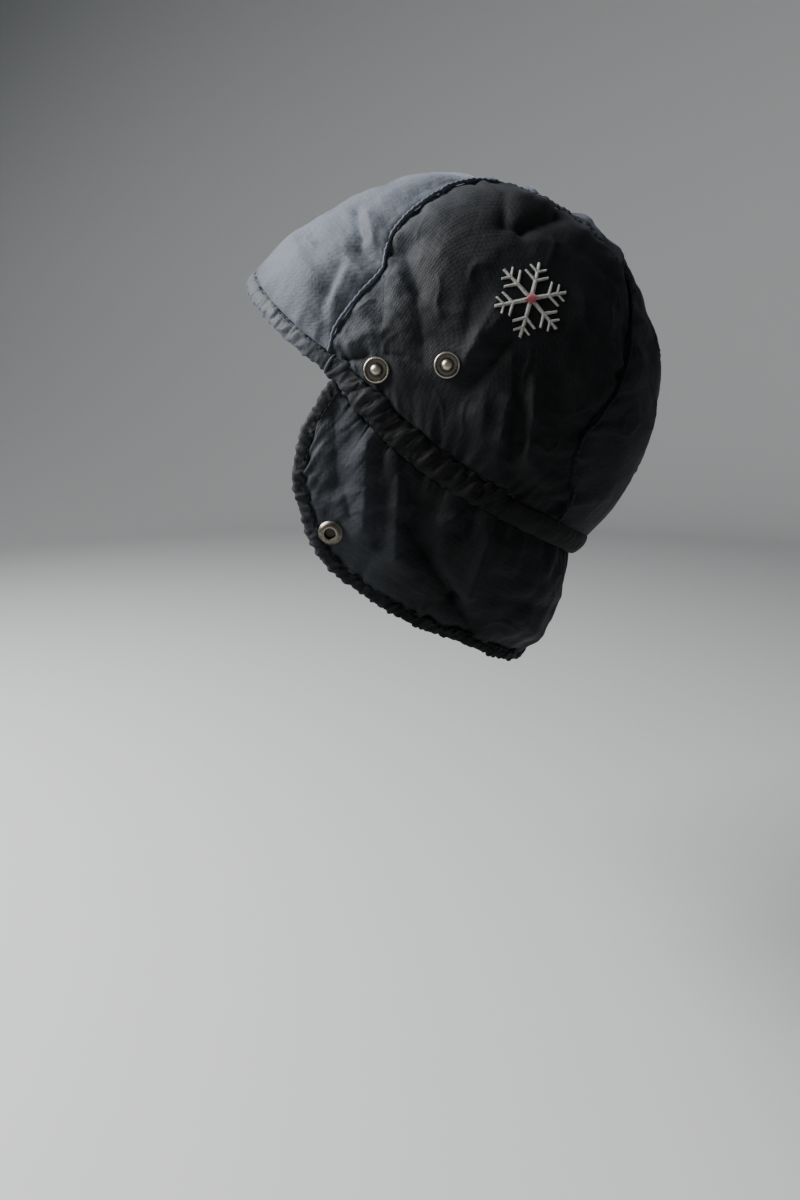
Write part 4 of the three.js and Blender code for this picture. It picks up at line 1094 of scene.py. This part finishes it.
def nickel():
    """Antique nickel: grey metal that darkens by the piece's own attribute, with fine clouds
    of wear in its tone and in its roughness."""
    material, tree, shader = new_material("antique_nickel")
    place = tree.nodes.new("ShaderNodeTexCoord").outputs
    depth = tree.nodes.new("ShaderNodeAttribute")
    depth.attribute_name = "dark"
    clouds = texture(tree, "ShaderNodeTexNoise", place["Object"], Scale=700.0, Detail=6.0,
                     Roughness=0.65)
    total = tree.nodes.new("ShaderNodeMath")
    total.operation = "MULTIPLY_ADD"
    total.inputs[1].default_value = 0.5
    tree.links.new(clouds, total.inputs[0])
    tree.links.new(depth.outputs["Fac"], total.inputs[2])
    tone = ramp(tree, total.outputs["Value"], (0.4, 0.37, 0.315), (0.04, 0.034, 0.027),
                start=0.2, end=1.1)
    tree.links.new(tone, shader.inputs["Base Color"])
    tree.links.new(ramp(tree, clouds, 0.24, 0.5, start=0.3, end=0.7), shader.inputs["Roughness"])
    shader.inputs["Metallic"].default_value = 1.0
    dents = bump(tree, clouds, strength=0.25, distance=0.0002)
    tree.links.new(dents.outputs["Normal"], shader.inputs["Normal"])
    return material


def snap(name, shape, point, normal, sign, sides=64, fine=4, lift=0.5, least=0.02):
    """Turned metal: a profile of radius and height, smoothed between its rows, carried round
    the axis that stands on the cloth, a little above the smooth panel."""
    run = np.linspace(0, len(shape) - 1, fine * (len(shape) - 1) + 1)
    radius, height, dark = (look_up(shape, None, column, run)
                            for column in ("radius", "height", "dark"))
    first = unit(np.cross(normal, (0, 0, 1.0)))
    second = np.cross(normal, first)
    turn = np.linspace(0, 2 * np.pi, sides, endpoint=False)
    ring = first * np.cos(turn)[:, None] + second * np.sin(turn)[:, None]
    rings = (point + normal * (height[:, None, None] + lift)
             + ring[None] * np.maximum(radius, least)[:, None, None])
    piece = cloth_roll(name + "_metal", rings * (sign, 1, 1), metal, np.zeros(len(rings)))
    mark(piece, "dark", np.repeat(np.clip(dark, 0, 1), sides))
    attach(piece, "root")
    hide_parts(name)


metal = nickel()
stud_normals = crown_normal(stud_ways)
for hand, sign in (("left", 1), ("right", -1)):
    for stud, point, normal in zip(STUDS, stud_points, stud_normals):
        snap("snap_stud_" + stud["name"] + "_" + hand, STUD, point, normal, sign)
    snap("snap_socket_" + hand, SOCKET_SHAPE, flap_point(*socket_spot)[0, 0],
         flap_normal(*socket_spot)[0, 0], sign)


# ROOM
# A plain pale floor that sweeps up into a pale wall all round, a large soft light high in
# front of the hat's left side, and a weak one behind.
FLOOR = -503.0


def sweep(radius=2600.0, bend=700.0, height=2600.0, hole=1.0, steps=24, sides=96):
    """Surface of revolution: a flat floor, a quarter circle and an upright wall, with the
    small hole in the middle closed by one face."""
    turn = np.linspace(0, np.pi / 2, steps)
    across = np.concatenate([[hole], radius - bend + bend * np.sin(turn), [radius]])
    up = np.concatenate([[0], bend - bend * np.cos(turn), [height]])
    angle = np.linspace(0, 2 * np.pi, sides + 1)[:-1]
    grid = np.stack([across[:, None] * np.cos(angle), across[:, None] * np.sin(angle),
                     FLOOR + up[:, None] + 0 * angle], -1)
    ring, side = tube_corners(len(across), sides)
    faces = (ring * sides + side % sides)[:, ::-1].tolist() + [list(range(sides))]
    mesh = bpy.data.meshes.new("floor")
    mesh.from_pydata((grid.reshape(-1, 3) * 0.001).tolist(), [], faces)
    mesh.shade_smooth()
    floor = bpy.data.objects.new("floor", mesh)
    bpy.context.scene.collection.objects.link(floor)
    paper, _, shader = new_material("paper")
    shader.inputs["Base Color"].default_value = (0.4, 0.41, 0.42, 1)
    shader.inputs["Roughness"].default_value = 0.9
    mesh.materials.append(paper)


def soft_light(name, place, power, colour, target=(0, 0, -0.1), size=1.0):
    """Square soft light at a place in metres, turned to face the middle of the hat."""
    light = bpy.data.lights.new(name, "AREA")
    light.size, light.energy, light.color = size, power, colour
    lamp = bpy.data.objects.new(name, light)
    lamp.location = place
    direction = unit(np.subtract(target, place))
    lamp.rotation_euler = (np.arccos(-direction[2]), 0,
                           np.arctan2(direction[1], direction[0]) - np.pi / 2)
    bpy.context.scene.collection.objects.link(lamp)


sweep()
soft_light("key", place=(0.1, -1.1, 0.75), power=88, colour=(1.0, 0.99, 0.97))
soft_light("back", place=(-0.6, 1.4, 0.9), power=0.35, colour=(0.92, 0.96, 1.0))
world = bpy.data.worlds.new("studio")
bpy.context.scene.world = world
world.use_nodes = True
world.node_tree.nodes["Background"].inputs["Color"].default_value = (0.9, 0.95, 1.0, 1)
world.node_tree.nodes["Background"].inputs["Strength"].default_value = 0.04
